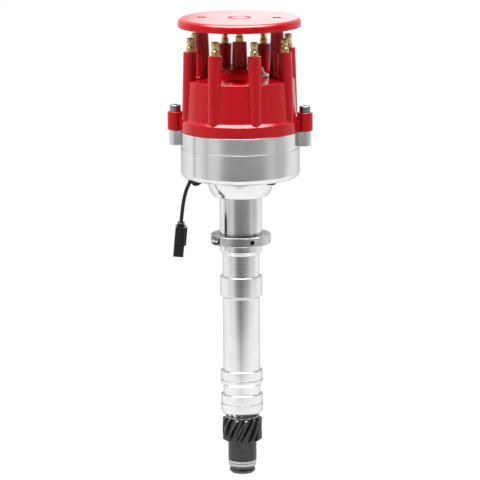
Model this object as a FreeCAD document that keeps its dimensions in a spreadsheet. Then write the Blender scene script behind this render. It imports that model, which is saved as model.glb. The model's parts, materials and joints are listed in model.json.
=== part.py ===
import FreeCAD
import Part
import math
import os
import re
import Sketcher
from FreeCAD import Placement, Rotation, Vector

# An ignition distributor with a turned housing, a slip collar that seats it on the engine,
# a helical gear on its shaft, a moulded cap with eight leaning towers and a round wire retainer.
# Millimetres. +Z runs up the shaft, and the origin is on the shaft's axis in the collar's seat plane.

DRIVING = {
    # Bowl of the housing, above the neck
    "bowl_radius": 45.4, "bowl_wall": 4.4, "bowl_height": 35.8, "bowl_floor": 4.7,
    "bowl_corner": 4.4, "bowl_fillet": 2.0,
    "band_groove_drop": 11.9, "band_groove_width": 0.9, "band_groove_depth": 0.45,
    # Neck and barrel, above and below the seat
    "neck_radius": 26.0, "neck_foot_radius": 21.7, "neck_height": 14.7, "neck_bulge": 24.0,
    "neck_edge": 1.4, "barrel_radius": 16.2, "barrel_rise": 36.6, "waist_radius": 14.2,
    "upper_barrel_drop": 5.7, "shoulder_bevel": 2.2,
    "band_drop": 25.5, "band_length": 14.8, "band_bevel": 1.4,
    "upper_land_drop": 98.9, "upper_land_length": 9.6, "land_gap": 7.1, "lower_land_length": 13.1,
    "land_bevel": 1.9, "foot_bevel": 4.0, "foot_radius": 12.6,
    "land_groove_drop": 6.1, "land_groove_width": 1.2, "land_groove_depth": 0.8,
    "relief_radius": 9.5, "bushing_wall": 2.0, "bushing_length": 30.0,
    # Ball bearing in the neck and the ring that keeps it
    "bearing_radius": 14.29, "bearing_width": 7.94, "ball_radius": 1.98, "ball_count": 8,
    "race_wall": 2.7, "clip_thickness": 1.1, "clip_bite": 0.8, "clip_depth": 2.2, "clip_rim": 1.9,
    "clip_gap_angle": 40.0,
    # Lugs that take the cap screws
    "lug_offset": 4.1, "lug_radius": 4.9, "lug_height": 11.6, "lug_edge": 0.6,
    # Cap
    "ring_height": 8.4, "ring_bevel": 2.3, "ring_step": 2.2, "drum_taper": 1.7,
    "drum_height": 40.3, "drum_edge": 1.4, "cap_wall": 5.0, "cap_draft": 0.8, "roof_thickness": 4.4,
    "cap_crown": 2.4, "spigot_depth": 2.5, "spigot_gap": 0.1,
    "plateau_radius": 18.5, "plateau_height": 6.0, "plateau_foot": 2.0,
    "ear_radius": 6.0, "ear_height": 14.1, "ear_web_width": 9.6,
    # Towers of the cap
    "tower_count": 8, "tower_angle": 22.5, "tower_inset": 2.2, "tower_slope": 2.1,
    "tower_radius": 5.2, "tower_foot_radius": 4.6, "tower_height": 61.7, "tower_foot_height": 10.0,
    "tower_tip": 4.5,
    "coil_tower_radius": 5.4, "coil_tower_foot": 6.0, "coil_tower_height": 19.2,
    "post_step": 10.3, "post_radius": 4.7, "post_foot_radius": 5.7, "post_height": 79.7,
    # Brass terminals
    "terminal_height": 10.7, "terminal_base_radius": 3.0, "terminal_waist_radius": 2.35,
    "terminal_head_radius": 2.9, "terminal_base_height": 3.4, "terminal_head_height": 3.6,
    "insert_radius": 2.1, "contact_radius": 2.2, "contact_stand": 1.1,
    # Carbon button and its well
    "button_radius": 2.6, "button_length": 9.5, "button_gap": 0.06,
    "well_wall": 2.6, "well_depth": 18.0,
    "spring_wire": 0.35, "spring_coils": 6,
    # Cap screws and retainer screws
    "screw_radius": 2.4, "screw_head_radius": 4.2, "screw_head_height": 5.0, "screw_length": 22.0,
    "screw_socket": 1.9, "screw_socket_depth": 2.8, "screw_gap": 0.2, "screw_edge": 0.5,
    "retainer_screw_radius": 1.9, "retainer_screw_length": 11.0, "retainer_head_radius": 3.3,
    "retainer_head_height": 1.6,
    # Wire retainer
    "disc_overhang": 8.1, "disc_rim": 3.9, "disc_rise": 2.6, "disc_bevel": 3.4, "disc_curve": 4.6,
    "disc_skin": 2.4,
    "disc_recess_radius": 3.8, "disc_ring_outer": 8.6, "disc_ring_inner": 6.4, "disc_ring_depth": 0.6,
    # Pickup
    "pickup_angle": 150.0, "pickup_foot": 15.0, "pickup_plate": 1.6, "pickup_inner": 21.0,
    "pickup_outer": 34.0, "pole_width": 5.0, "pole_height": 5.0, "air_gap": 0.6,
    "coil_radius": 6.4, "coil_length": 6.0, "coil_flange": 1.0, "magnet_length": 7.0,
    "coil_setback": 1.4, "pickup_screw_reach": 28.5, "pickup_screw_spread": 5.0,
    "pickup_screw_radius": 1.5, "pickup_screw_head": 2.4,
    # Main shaft and what it carries
    "shaft_radius": 6.35, "running_gap": 0.04, "joint_gap": 0.3, "spacer_radius": 8.6,
    "spacer_height": 4.8, "thrust_radius": 12.6, "thrust_thickness": 1.2,
    "gear_radius": 15.2, "gear_root_radius": 12.3, "gear_length": 17.7, "gear_teeth": 13,
    "gear_helix_angle": 31.0, "gear_edge": 1.1, "tooth_foot_share": 0.31, "tooth_tip_share": 0.13,
    "hub_radius": 10.9, "hub_length": 15.5, "hub_edge": 0.8,
    "pin_radius": 2.4, "pin_drop": 10.5, "upper_washer_radius": 10.8, "upper_washer_thickness": 2.1,
    "lower_washer_radius": 10.6, "lower_washer_thickness": 2.4, "washer_edge": 0.5,
    "end_radius": 10.1, "end_length": 5.9, "end_bevel": 1.0, "end_ridge_drop": 3.0, "end_groove": 0.7,
    "end_web": 1.0, "slot_width": 4.8,
    "slot_depth": 2.6,
    # Centrifugal advance
    "sleeve_radius": 9.0, "sleeve_height": 15.2, "advance_plate_radius": 27.0,
    "advance_plate_thickness": 2.5, "reluctor_rise": 4.0, "reluctor_height": 6.0,
    "reluctor_radius": 17.0, "reluctor_root_radius": 12.6, "reluctor_tooth": 3.2,
    "reluctor_bite": 1.0,
    "cam_radius": 8.8, "weight_thickness": 5.0, "weight_inner": 9.8,
    "weight_outer": 23.0, "weight_reach": 17.0, "weight_eye": 5.5, "weight_span_angle": 118.0,
    "weight_pin_radius": 2.5, "weight_pin_gap": 0.05, "advance_angle": 14.0,
    "stop_thickness": 2.0, "stop_angle": 315.0, "stop_reach": 12.5, "stop_arm": 4.7,
    "arm_angle_before": 37.0, "arm_angle_after": 17.0, "post_inset_angle": 5.0,
    "stop_pin_radius": 1.4, "stop_bushing_radius": 2.3, "stop_play": 0.15,
    "spring_post_reach": 13.0, "spring_post_radius": 0.9, "post_top": 2.6,
    "advance_spring_radius": 1.1, "rotor_post_angle": 150.0, "rotor_post_reach": 22.5,
    "rotor_post_radius": 3.4,
    # Rotor
    "rotor_radius": 27.5, "rotor_plate": 3.0, "rotor_cone_foot": 17.0, "rotor_cone_top": 11.0,
    "rotor_height": 12.5, "rotor_arm_width": 13.0, "rotor_arm_reach": 33.0, "rotor_arm_height": 3.2,
    "blade_width": 8.0, "blade_thickness": 1.6, "blade_start": 8.0, "leaf_width": 5.0,
    "leaf_thickness": 0.5, "leaf_rise": 3.0, "leaf_reach": 12.0,
    # Slip collar and its screws
    "collar_wall": 6.7, "collar_height": 7.4, "collar_edge": 0.7, "collar_gap": 0.05,
    "collar_angle": -174.0, "slit_width": 2.0, "clamp_offset": 3.3, "clamp_radius": 1.9,
    "clamp_head_radius": 3.3, "clamp_head_height": 4.0, "clamp_pocket_gap": 0.4,
    "clamp_face": 3.2, "clamp_length": 12.0, "set_screw_angle": -61.5, "set_screw_radius": 1.75,
    "set_screw_length": 4.2, "set_screw_sunk": 1.2,
    # Grommet, vent plug, lead and connector
    "grommet_across": -31.1, "grommet_along": -15.3, "grommet_angle": 6.0, "grommet_plug": 3.4,
    "grommet_width": 8.0, "grommet_length": 12.0, "grommet_drop": 4.4, "grommet_lip": 1.0,
    "vent_across": 25.6, "vent_along": -23.5, "vent_radius": 3.0, "vent_head_radius": 3.9,
    "vent_head": 2.0, "lead_radius": 1.45, "snout_across": -5.9, "snout_drop": 2.1,
    "snout_angle": 34.8, "snout_radius": 1.9, "snout_length": 2.4,
    "boot_width": 5.4, "boot_depth": 9.0, "boot_length": 3.0, "connector_width": 8.0,
    "connector_depth": 12.6, "connector_length": 15.3, "shroud_width": 7.8, "shroud_depth": 12.3,
    "shroud_length": 7.6, "connector_wall": 1.15, "connector_edge": 0.9, "joint_groove": 0.6,
    "latch_rise": 1.2, "latch_width": 5.0, "latch_drop": 0.6, "latch_length": 14.0, "pin_spread": 2.5,
    "contact_pin_radius": 0.8, "contact_pin_length": 6.2,
}

# Heights and reaches that follow from the driving sizes
DERIVED = {
    "drum_foot_radius": "bowl_radius - ring_step",
    "drum_radius": "drum_foot_radius - drum_taper",
    "tower_foot_reach": "drum_foot_radius - tower_inset",
    "tower_reach": "tower_foot_reach - tower_slope",
    "post_reach": "tower_reach - post_step",
    "disc_radius": "tower_reach + disc_overhang",
    "collar_radius": "barrel_radius + collar_wall",
    "clamp_reach": "barrel_radius + clamp_offset",
    "neck_top": "barrel_rise + neck_height",
    "floor_top": "neck_top + bowl_floor",
    "rim": "neck_top + bowl_height",
    "bowl_bore": "bowl_radius - bowl_wall",
    "upper_land": "-upper_land_drop",
    "upper_land_foot": "upper_land - upper_land_length",
    "lower_land": "upper_land_foot - land_bevel - land_gap",
    "lower_land_foot": "lower_land - lower_land_length",
    "foot": "lower_land_foot - foot_bevel",
    "bushing_radius": "shaft_radius + running_gap + bushing_wall",
    "bearing_foot": "floor_top - clip_rim - clip_thickness - bearing_width",
    "bearing_top": "bearing_foot + bearing_width",
    "ball_reach": "(shaft_radius + bearing_radius) / 2",
    "lug_reach": "bowl_radius + lug_offset",
    "ring_top": "rim + ring_height",
    "drum_top": "rim + drum_height",
    "roof_under": "drum_top + cap_crown - roof_thickness",
    "cap_bore": "drum_foot_radius - cap_wall",
    "plateau_top": "drum_top + cap_crown + plateau_height",
    "tower_top": "rim + tower_height",
    "tower_foot": "rim + tower_foot_height",
    "tower_lean": "atan((tower_foot_reach - tower_reach) / (tower_top - tower_foot))",
    "coil_tower_top": "plateau_top + coil_tower_height",
    "disc_under": "rim + post_height",
    "disc_top": "disc_under + disc_rim + disc_rise",
    "well_foot": "roof_under - well_depth",
    "well_radius": "button_radius + button_gap",
    "spacer_top": "bearing_top + spacer_height",
    "sleeve_foot": "spacer_top + joint_gap",
    "plate_under": "sleeve_foot + sleeve_height",
    "plate_top": "plate_under + advance_plate_thickness",
    "weight_foot": "plate_top + joint_gap",
    "weight_top": "weight_foot + weight_thickness",
    "stop_foot": "weight_top + joint_gap",
    "stop_top": "stop_foot + stop_thickness",
    "spring_level": "stop_top + joint_gap + advance_spring_radius",
    "shaft_top": "stop_top + 2 * joint_gap",
    "rotor_foot": "stop_top + post_top + 2 * joint_gap",
    "rotor_top": "rotor_foot + rotor_height",
    "contact_level": "rotor_top + blade_thickness / 2",
    "leaf_top": "rotor_top + blade_thickness + leaf_thickness + leaf_rise",
    "button_foot": "leaf_top + joint_gap",
    "reluctor_foot": "sleeve_foot + reluctor_rise",
    "reluctor_middle": "reluctor_foot + reluctor_height / 2",
    "gear_top": "foot - joint_gap - thrust_thickness",
    "gear_foot": "gear_top - gear_length",
    "hub_foot": "gear_foot - hub_length",
    "washer_foot": "hub_foot - upper_washer_thickness",
    "end_top": "washer_foot - lower_washer_thickness",
    "end_foot": "end_top - end_length",
    "shaft_foot": "end_foot + slot_depth + end_web",
    "shroud_foot": "-(boot_length + connector_length + shroud_length)",
}

# Route of the lead from the grommet's snout to the connector's boot
LEAD_ROUTE = [
    Vector(-36.9, -15.9, 49.2), Vector(-39.3, -16.5, 44.6), Vector(-41.5, -16.9, 36.6),
    Vector(-42.9, -17.0, 27.5), Vector(-43.8, -16.8, 18.4),
]
ARC_SHARE = 0.45
SPRING_POST_ANGLE = "stop_angle - arm_angle_before + post_inset_angle"

doc = FreeCAD.newDocument("Distributor")
sheet = doc.addObject("Spreadsheet::Sheet", "Sizes")
pieces = []


def fill_sheet():
    """Write every size into the sheet, the derived ones as formulas."""
    rows = [(name, str(value)) for name, value in DRIVING.items()]
    rows += [(name, "=" + rule) for name, rule in DERIVED.items()]
    for row, (name, text) in enumerate(rows, start=1):
        sheet.set(f"A{row}", name)
        sheet.set(f"B{row}", text)
        sheet.setAlias(f"B{row}", name)
    doc.recompute()


def bound(rule):
    """The rule with each of the sheet's names written as the sheet's own."""
    return re.sub(r"[a-z_]+", lambda found: sheet_name(found.group()), str(rule))


def sheet_name(word):
    return "Sizes." + word if word in DRIVING or word in DERIVED else word


def size(rule):
    """The rule's value as a plain number."""
    value = sheet.evalExpression(str(rule))
    return float(getattr(value, "Value", value))


def new_body(label):
    body = doc.addObject("PartDesign::Body", label)
    body.Label = label
    pieces.append(body)
    return body


def origin_part(body, role):
    return next(part for part in body.Origin.OriginFeatures if part.Role == role)


def turned_plane(body, tag, turn, role="XZ_Plane"):
    """One of the body's upright planes turned about the shaft's axis."""
    plane = body.newObject("PartDesign::Plane", f"{body.Name}_{tag}_plane")
    plane.AttachmentSupport = [(origin_part(body, role), "")]
    plane.MapMode = "FlatFace"
    plane.AttachmentOffset = Placement(Vector(), Rotation(Vector(0, 1, 0), size(turn)))
    plane.setExpression("AttachmentOffset.Rotation.Angle", bound(turn))
    return plane


def sketch(body, tag, base="XZ_Plane", across="0", up="0", off="0", lean="0"):
    """A sketch on one of the body's planes, moved in the plane and off it, and turned in it."""
    plan = body.newObject("Sketcher::SketchObject", f"{body.Name}_{tag}_sketch")
    support = origin_part(body, base) if isinstance(base, str) else base
    plan.AttachmentSupport = [(support, "")]
    plan.MapMode = "FlatFace"
    places = {"Base.x": across, "Base.y": up, "Base.z": off, "Rotation.Angle": lean}
    for path, rule in places.items():
        if rule != "0":
            plan.setExpression("AttachmentOffset." + path, bound(rule))
    return plan


def constrain(plan, kind, places, rule):
    """Add a dimension and bind it to its rule."""
    index = plan.addConstraint(Sketcher.Constraint(kind, *places, size(rule)))
    if re.search(r"[a-z]", rule):
        plan.setExpression(f"Constraints[{index}]", bound(rule))


def arc_between(start, end, bend, radius):
    """An arc that leaves its start by turning left or right."""
    half = (end - start) / 2
    side = Vector(-half.y, half.x, 0).normalize()
    rise = math.sqrt(max(radius ** 2 - half.Length ** 2, 0))
    centre = start + half + side * (rise if bend == "left" else -rise)
    angles = [math.atan2(spot.y - centre.y, spot.x - centre.x) for spot in (start, end)]
    if bend == "right":
        angles.reverse()
    return Part.ArcOfCircle(Part.Circle(centre, Vector(0, 0, 1), radius), *angles)


def outline(plan, corners):
    """A closed outline. A corner is (x, y), with a bend and a radius where an arc leaves it."""
    spots = [Vector(size(corner[0]), size(corner[1]), 0) for corner in corners]
    first = plan.GeometryCount
    ends = []
    for index, corner in enumerate(corners):
        start, end = spots[index], spots[(index + 1) % len(spots)]
        if len(corner) == 2:
            plan.addGeometry(Part.LineSegment(start, end), False)
            ends.append((1, 2))
        else:
            plan.addGeometry(arc_between(start, end, corner[2], size(corner[3])), False)
            ends.append((1, 2) if corner[2] == "left" else (2, 1))
    for index, corner in enumerate(corners):
        after = (index + 1) % len(corners)
        plan.addConstraint(Sketcher.Constraint(
            "Coincident", first + index, ends[index][1], first + after, ends[after][0]))
        constrain(plan, "DistanceX", (-1, 1, first + index, ends[index][0]), corner[0])
        constrain(plan, "DistanceY", (-1, 1, first + index, ends[index][0]), corner[1])
        if len(corner) == 4:
            constrain(plan, "Radius", (first + index,), corner[3])


def circle(plan, radius, x="0", y="0"):
    centre = Vector(size(x), size(y), 0)
    index = plan.addGeometry(Part.Circle(centre, Vector(0, 0, 1), size(radius)), False)
    constrain(plan, "Radius", (index,), radius)
    constrain(plan, "DistanceX", (-1, 1, index, 3), x)
    constrain(plan, "DistanceY", (-1, 1, index, 3), y)


def draw(plan, shape):
    """A shape is a list of corners, or a dictionary for a circle."""
    if isinstance(shape, dict):
        circle(plan, **shape)
    else:
        outline(plan, shape)


def rectangle(width, depth, x="0", y="0"):
    """The corners of a rectangle about a centre."""
    low, high = f"{x} - ({width}) / 2", f"{x} + ({width}) / 2"
    near, far = f"{y} - ({depth}) / 2", f"{y} + ({depth}) / 2"
    return [(low, near), (high, near), (high, far), (low, far)]


def turn(body, tag, corners, cut=False, angle="360", both=False, **place):
    """A form turned about its sketch's upright axis, added or cut away."""
    plan = sketch(body, tag, **place)
    draw(plan, corners)
    kind = "PartDesign::Groove" if cut else "PartDesign::Revolution"
    form = body.newObject(kind, f"{body.Name}_{tag}")
    form.Profile = plan
    form.ReferenceAxis = (plan, ["V_Axis"])
    form.Midplane = both
    form.setExpression("Angle", bound(angle))
    return form


def push(body, tag, shape, length, cut=False, both=False, **place):
    """A sketch pushed out into a pad, or cut back into a pocket."""
    place.setdefault("base", "XY_Plane")
    plan = sketch(body, tag, **place)
    draw(plan, shape)
    kind = "PartDesign::Pocket" if cut else "PartDesign::Pad"
    form = body.newObject(kind, f"{body.Name}_{tag}")
    form.Profile = plan
    form.Midplane = both
    form.setExpression("Length", bound(length))
    return form


def repeat(body, forms, count):
    """Repeat forms evenly about the shaft's axis."""
    doc.recompute()
    ring = body.newObject("PartDesign::PolarPattern", f"{body.Name}_ring_of_{forms[-1].Name}")
    ring.Originals = forms
    ring.Axis = (origin_part(body, "Z_Axis"), [""])
    ring.Angle = 360
    ring.setExpression("Occurrences", bound(count))
    body.Tip = ring
    return ring


def place(body, x="0", y="0", z="0", turn_by="0"):
    """Set a body at its spot, turned about its upright axis."""
    for path, rule in (("Base.x", x), ("Base.y", y), ("Base.z", z), ("Rotation.Angle", turn_by)):
        if rule != "0":
            body.setExpression("Placement." + path, bound(rule))


def tube(outer, inner, low, high):
    """The half section of a plain ring."""
    return [(inner, low), (outer, low), (outer, high), (inner, high)]


# Housing


def groove_corners(top, drop, width, depth, radius):
    """The corners of a square groove on the way up an outside wall."""
    high = f"{top} - {drop}"
    low = f"{high} - {width}"
    inner = f"{radius} - {depth}"
    return [(radius, low), (inner, low), (inner, high), (radius, high)]


def housing():
    """The turned housing: bowl, neck and barrel, bored for the bearing, shaft and bushing."""
    body = new_body("housing")
    land_groove = ("land_groove_drop", "land_groove_width", "land_groove_depth", "barrel_radius")
    band_groove = ("band_groove_drop", "band_groove_width", "band_groove_depth", "bowl_radius")
    turn(body, "turning", [
        ("bushing_radius", "foot"),
        ("foot_radius", "foot"),
        ("barrel_radius", "lower_land_foot"),
        *groove_corners("lower_land", *land_groove),
        ("barrel_radius", "lower_land"),
        ("waist_radius", "lower_land"),
        ("waist_radius", "upper_land_foot - land_bevel"),
        ("barrel_radius", "upper_land_foot"),
        *groove_corners("upper_land", *land_groove),
        ("barrel_radius", "upper_land"),
        ("waist_radius", "upper_land"),
        ("waist_radius", "-band_drop - band_length - band_bevel"),
        ("barrel_radius", "-band_drop - band_length"),
        ("barrel_radius", "-band_drop"),
        ("waist_radius", "-band_drop"),
        ("waist_radius", "-upper_barrel_drop - shoulder_bevel"),
        ("barrel_radius", "-upper_barrel_drop"),
        ("barrel_radius", "barrel_rise"),
        ("neck_foot_radius - neck_edge", "barrel_rise", "left", "neck_edge"),
        ("neck_foot_radius", "barrel_rise + neck_edge", "left", "neck_bulge"),
        ("neck_radius", "neck_top"),
        ("bowl_radius - bowl_corner", "neck_top", "left", "bowl_corner"),
        ("bowl_radius", "neck_top + bowl_corner"),
        *groove_corners("rim", *band_groove),
        ("bowl_radius", "rim"),
        ("bowl_bore", "rim"),
        ("bowl_bore", "floor_top + bowl_fillet", "right", "bowl_fillet"),
        ("bowl_bore - bowl_fillet", "floor_top"),
        ("bearing_radius", "floor_top"),
        ("bearing_radius", "bearing_top + clip_thickness"),
        ("bearing_radius + clip_bite", "bearing_top + clip_thickness"),
        ("bearing_radius + clip_bite", "bearing_top"),
        ("bearing_radius", "bearing_top"),
        ("bearing_radius", "bearing_foot"),
        ("relief_radius", "bearing_foot"),
        ("relief_radius", "foot + bushing_length"),
        ("bushing_radius", "foot + bushing_length"),
    ])
    boss = turn(body, "lug", [
        ("0", "0"), ("lug_radius - lug_edge", "0"), ("lug_radius", "lug_edge"),
        ("lug_radius", "lug_height"), ("0", "lug_height"),
    ], across="lug_reach", up="rim - lug_height")
    web_start = "(bowl_radius - bowl_wall / 2)"
    web = push(body, "lug_web", rectangle(f"lug_reach - {web_start}", "2 * lug_radius",
                                          x=f"(lug_reach + {web_start}) / 2"),
               "lug_height", off="rim - lug_height")
    repeat(body, [boss, web], "2")
    hole = push(body, "lug_hole", {"radius": "screw_radius", "x": "lug_reach"}, "lug_height",
                cut=True, off="rim")
    repeat(body, [hole], "2")
    push(body, "lead_hole", {"radius": "grommet_plug", "x": "grommet_across", "y": "grommet_along"},
         "bowl_floor", cut=True, off="floor_top")
    push(body, "vent_hole", {"radius": "vent_radius", "x": "vent_across", "y": "vent_along"},
         "bowl_floor", cut=True, off="floor_top")
    for side, sign in (("near", "-"), ("far", "")):
        push(body, f"pickup_hole_{side}",
             {"radius": "pickup_screw_radius", "x": "pickup_screw_reach",
              "y": f"{sign}pickup_screw_spread"},
             "bowl_floor", cut=True, off="floor_top", lean="pickup_angle")


# Bearing, retaining ring and bushing


def race_groove(wall):
    """The low and high ends of the ball groove in a ring's wall."""
    opening = f"sqrt((ball_radius + running_gap) ^ 2 - ({wall} - ball_reach) ^ 2)"
    middle = "bearing_foot + bearing_width / 2"
    return (wall, f"{middle} - {opening}"), (wall, f"{middle} + {opening}")


def bearing():
    """A ball bearing: two grooved rings and their balls, under a retaining ring."""
    groove = ("right", "ball_radius + running_gap")
    wall = "bearing_radius - race_wall"
    low, high = race_groove(wall)
    outer = new_body("bearing_outer_ring")
    turn(outer, "ring", [(wall, "bearing_foot"), ("bearing_radius", "bearing_foot"),
                         ("bearing_radius", "bearing_top"), (wall, "bearing_top"),
                         (*high, *groove), low])
    wall = "shaft_radius + race_wall"
    low, high = race_groove(wall)
    inner = new_body("bearing_inner_ring")
    turn(inner, "ring", [("shaft_radius", "bearing_foot"), (wall, "bearing_foot"),
                         (*low, *groove), high, (wall, "bearing_top"),
                         ("shaft_radius", "bearing_top")])
    balls = new_body("bearing_balls")
    ball = turn(balls, "ball", [("0", "-ball_radius", "left", "ball_radius"),
                                ("ball_radius", "0", "left", "ball_radius"), ("0", "ball_radius")],
                across="ball_reach", up="bearing_foot + bearing_width / 2")
    repeat(balls, [ball], "ball_count")
    clip = new_body("bearing_clip")
    clip_radius = "bearing_radius + clip_bite"
    turn(clip, "ring", tube(clip_radius, clip_radius + " - clip_depth",
                            "bearing_top", "bearing_top + clip_thickness"),
         angle="360 - clip_gap_angle")
    bushing = new_body("lower_bushing")
    turn(bushing, "ring", tube("bushing_radius", "shaft_radius + running_gap",
                               "foot", "foot + bushing_length"))


# Pickup


def pickup():
    """The magnetic pickup: bracket, magnet, pole and coil in line, facing the reluctor."""
    middle = "reluctor_middle"
    pole_start = "reluctor_radius + air_gap"
    wall = "pickup_outer - pickup_plate"
    bracket = new_body("pickup_bracket")
    push(bracket, "foot", rectangle("pickup_outer - pickup_inner", "pickup_foot",
                                    x="(pickup_outer + pickup_inner) / 2"),
         "pickup_plate", off="floor_top")
    push(bracket, "wall", rectangle("pickup_plate", "pickup_foot",
                                    x="pickup_outer - pickup_plate / 2"),
         "reluctor_middle + pole_height - floor_top", off="floor_top")
    holes = [push(bracket, f"hole_{side}",
                  {"radius": "pickup_screw_radius", "x": "pickup_screw_reach",
                   "y": f"{sign}pickup_screw_spread"},
                  "pickup_plate", cut=True, off="floor_top + pickup_plate")
             for side, sign in (("near", "-"), ("far", ""))]
    magnet = new_body("pickup_magnet")
    push(magnet, "bar", rectangle("pole_width", "pole_height", y=middle), "magnet_length",
         base="YZ_Plane", off=f"{wall} - magnet_length")
    pole = new_body("pickup_pole")
    push(pole, "bar", rectangle("pole_width", "pole_height", y=middle),
         f"{wall} - magnet_length - ({pole_start})", base="YZ_Plane", off=pole_start)
    coil = new_body("pickup_coil")
    coil_start = f"{pole_start} + coil_setback"
    push(coil, "inner_flange", {"radius": "coil_radius", "y": middle}, "coil_flange",
         base="YZ_Plane", off=coil_start)
    push(coil, "winding", {"radius": "coil_radius - coil_flange", "y": middle}, "coil_length",
         base="YZ_Plane", off=coil_start)
    push(coil, "outer_flange", {"radius": "coil_radius", "y": middle}, "coil_flange",
         base="YZ_Plane", off=f"{coil_start} + coil_length - coil_flange")
    push(coil, "window", rectangle("pole_width", "pole_height", y=middle), "2 * coil_length",
         cut=True, both=True, base="YZ_Plane", off=f"{coil_start} + coil_length / 2")
    screws = new_body("pickup_screws")
    for side, sign in (("near", "-"), ("far", "")):
        spot = {"x": "pickup_screw_reach", "y": f"{sign}pickup_screw_spread"}
        push(screws, f"shank_{side}", {"radius": "pickup_screw_radius", **spot},
             "bowl_floor + pickup_plate", off="neck_top")
        push(screws, f"head_{side}", {"radius": "pickup_screw_head", **spot},
             "pickup_plate", off="floor_top + pickup_plate")
    for body in (bracket, magnet, pole, coil, screws):
        place(body, turn_by="pickup_angle")


# Cap, terminals and wire retainer


def cap():
    """The moulded cap: a drum with a base ring, ears, towers, posts and a well for the button."""
    body = new_body("distributor_cap")
    turn(body, "turning", [
        ("0", "rim - spigot_depth"),
        ("bowl_bore - spigot_gap", "rim - spigot_depth"),
        ("bowl_bore - spigot_gap", "rim"),
        ("bowl_radius", "rim"),
        ("bowl_radius", "ring_top"),
        ("drum_foot_radius", "ring_top + ring_bevel"),
        ("drum_radius", "drum_top - drum_edge", "left", "drum_edge"),
        ("drum_radius - drum_edge", "drum_top"),
        ("plateau_radius + plateau_foot", "drum_top + cap_crown", "right", "plateau_foot"),
        ("plateau_radius", "drum_top + cap_crown + plateau_foot"),
        ("plateau_radius - plateau_foot / 2", "plateau_top"),
        ("coil_tower_foot", "plateau_top"),
        ("coil_tower_radius", "coil_tower_top"),
        ("0", "coil_tower_top"),
    ])
    boss = push(body, "ear", {"radius": "ear_radius", "x": "lug_reach"}, "ear_height", off="rim")
    web = push(body, "ear_web", rectangle("lug_reach - cap_bore", "ear_web_width",
                                          x="(lug_reach + cap_bore) / 2"),
               "ring_height", off="rim")
    post = turn(body, "post", [("0", "0"), ("post_foot_radius", "0"),
                               ("post_radius", "disc_under - drum_top"),
                               ("0", "disc_under - drum_top")],
                across="post_reach", up="drum_top")
    repeat(body, [boss, web, post], "2")
    spoke = turned_plane(body, "tower", "tower_angle")
    tower = turn(body, "tower", [
        ("0", "-tower_tip"), ("tower_foot_radius", "0"),
        ("tower_radius", "tower_top - tower_foot"), ("0", "tower_top - tower_foot"),
    ], base=spoke, across="tower_foot_reach", up="tower_foot", lean="tower_lean")
    repeat(body, [tower], "tower_count")
    turn(body, "inside", [
        ("0", "rim - spigot_depth"),
        ("cap_bore", "rim - spigot_depth"),
        ("cap_bore - cap_draft", "roof_under - bowl_fillet", "left", "bowl_fillet"),
        ("cap_bore - cap_draft - bowl_fillet", "roof_under"),
        ("well_radius + well_wall", "roof_under"),
        ("well_radius + well_wall", "well_foot"),
        ("0", "well_foot"),
    ], cut=True)
    turn(body, "well", [
        ("0", "well_foot"), ("well_radius", "well_foot"), ("well_radius", "roof_under"),
        ("insert_radius", "roof_under"), ("insert_radius", "coil_tower_top"),
        ("0", "coil_tower_top"),
    ], cut=True)
    hole = push(body, "ear_hole", {"radius": "screw_radius + screw_gap", "x": "lug_reach"},
                "ear_height", cut=True, off="rim + ear_height")
    thread = push(body, "post_hole", {"radius": "retainer_screw_radius", "x": "post_reach"},
                  "retainer_screw_length", cut=True, off="disc_under")
    repeat(body, [hole, thread], "2")
    insert = turn(body, "insert_bore", [
        ("0", "contact_level - contact_radius - tower_foot"),
        ("insert_radius", "contact_level - contact_radius - tower_foot"),
        ("insert_radius", "tower_top - tower_foot"), ("0", "tower_top - tower_foot"),
    ], cut=True, base=spoke, across="tower_foot_reach", up="tower_foot", lean="tower_lean")
    across_spoke = turned_plane(body, "contact", "tower_angle", role="YZ_Plane")
    contact = push(body, "contact_bore", {"radius": "contact_radius", "y": "contact_level"},
                   "tower_foot_reach - cap_bore + tower_radius", cut=True, base=across_spoke,
                   off="tower_foot_reach")
    repeat(body, [insert, contact], "tower_count")


def spool(start):
    """The corners of a terminal's turned head, above its seat."""
    top = f"{start} + terminal_height"
    shoulder = "(terminal_base_radius - terminal_waist_radius)"
    return [
        ("terminal_base_radius", start),
        ("terminal_base_radius", f"{start} + terminal_base_height"),
        ("terminal_waist_radius", f"{start} + terminal_base_height + {shoulder}"),
        ("terminal_waist_radius", f"{top} - terminal_head_height - {shoulder}"),
        ("terminal_head_radius", f"{top} - terminal_head_height"),
        ("terminal_head_radius", f"{top} - {shoulder}"),
        ("terminal_waist_radius", top),
        ("0", top),
    ]


def terminals():
    """Eight leaning plug terminals with contacts inside the cap, and the upright coil terminal."""
    low = "contact_level - contact_radius - tower_foot"
    seat = "(tower_top - tower_foot)"
    for number in range(DRIVING["tower_count"]):
        body = new_body(f"plug_terminal_{number + 1}")
        turn(body, "rod", [("0", low), ("insert_radius", low), ("insert_radius", seat), *spool(seat)],
             across="tower_foot_reach", up="tower_foot", lean="tower_lean")
        push(body, "contact", {"radius": "contact_radius", "y": "contact_level"},
             "tower_foot_reach - cap_bore + contact_stand", base="YZ_Plane",
             off="cap_bore - contact_stand")
        place(body, turn_by=f"tower_angle + {number} * 360 / tower_count")
    body = new_body("coil_terminal")
    turn(body, "rod", [("0", "roof_under"), ("insert_radius", "roof_under"),
                       ("insert_radius", "coil_tower_top"), *spool("coil_tower_top")])


def button():
    """The carbon button in its well, with the spring that holds it down."""
    body = new_body("carbon_button")
    turn(body, "rod", [
        ("0", "button_foot"),
        ("button_radius / 2", "button_foot"),
        ("button_radius", "button_foot + button_radius / 2"),
        ("button_radius", "button_foot + button_length"),
        ("0", "button_foot + button_length"),
    ])
    spring = new_body("button_spring")
    coil_form(spring, "button_radius", "spring_wire", "roof_under - button_foot - button_length",
              "spring_coils", up="button_foot + button_length")


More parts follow.
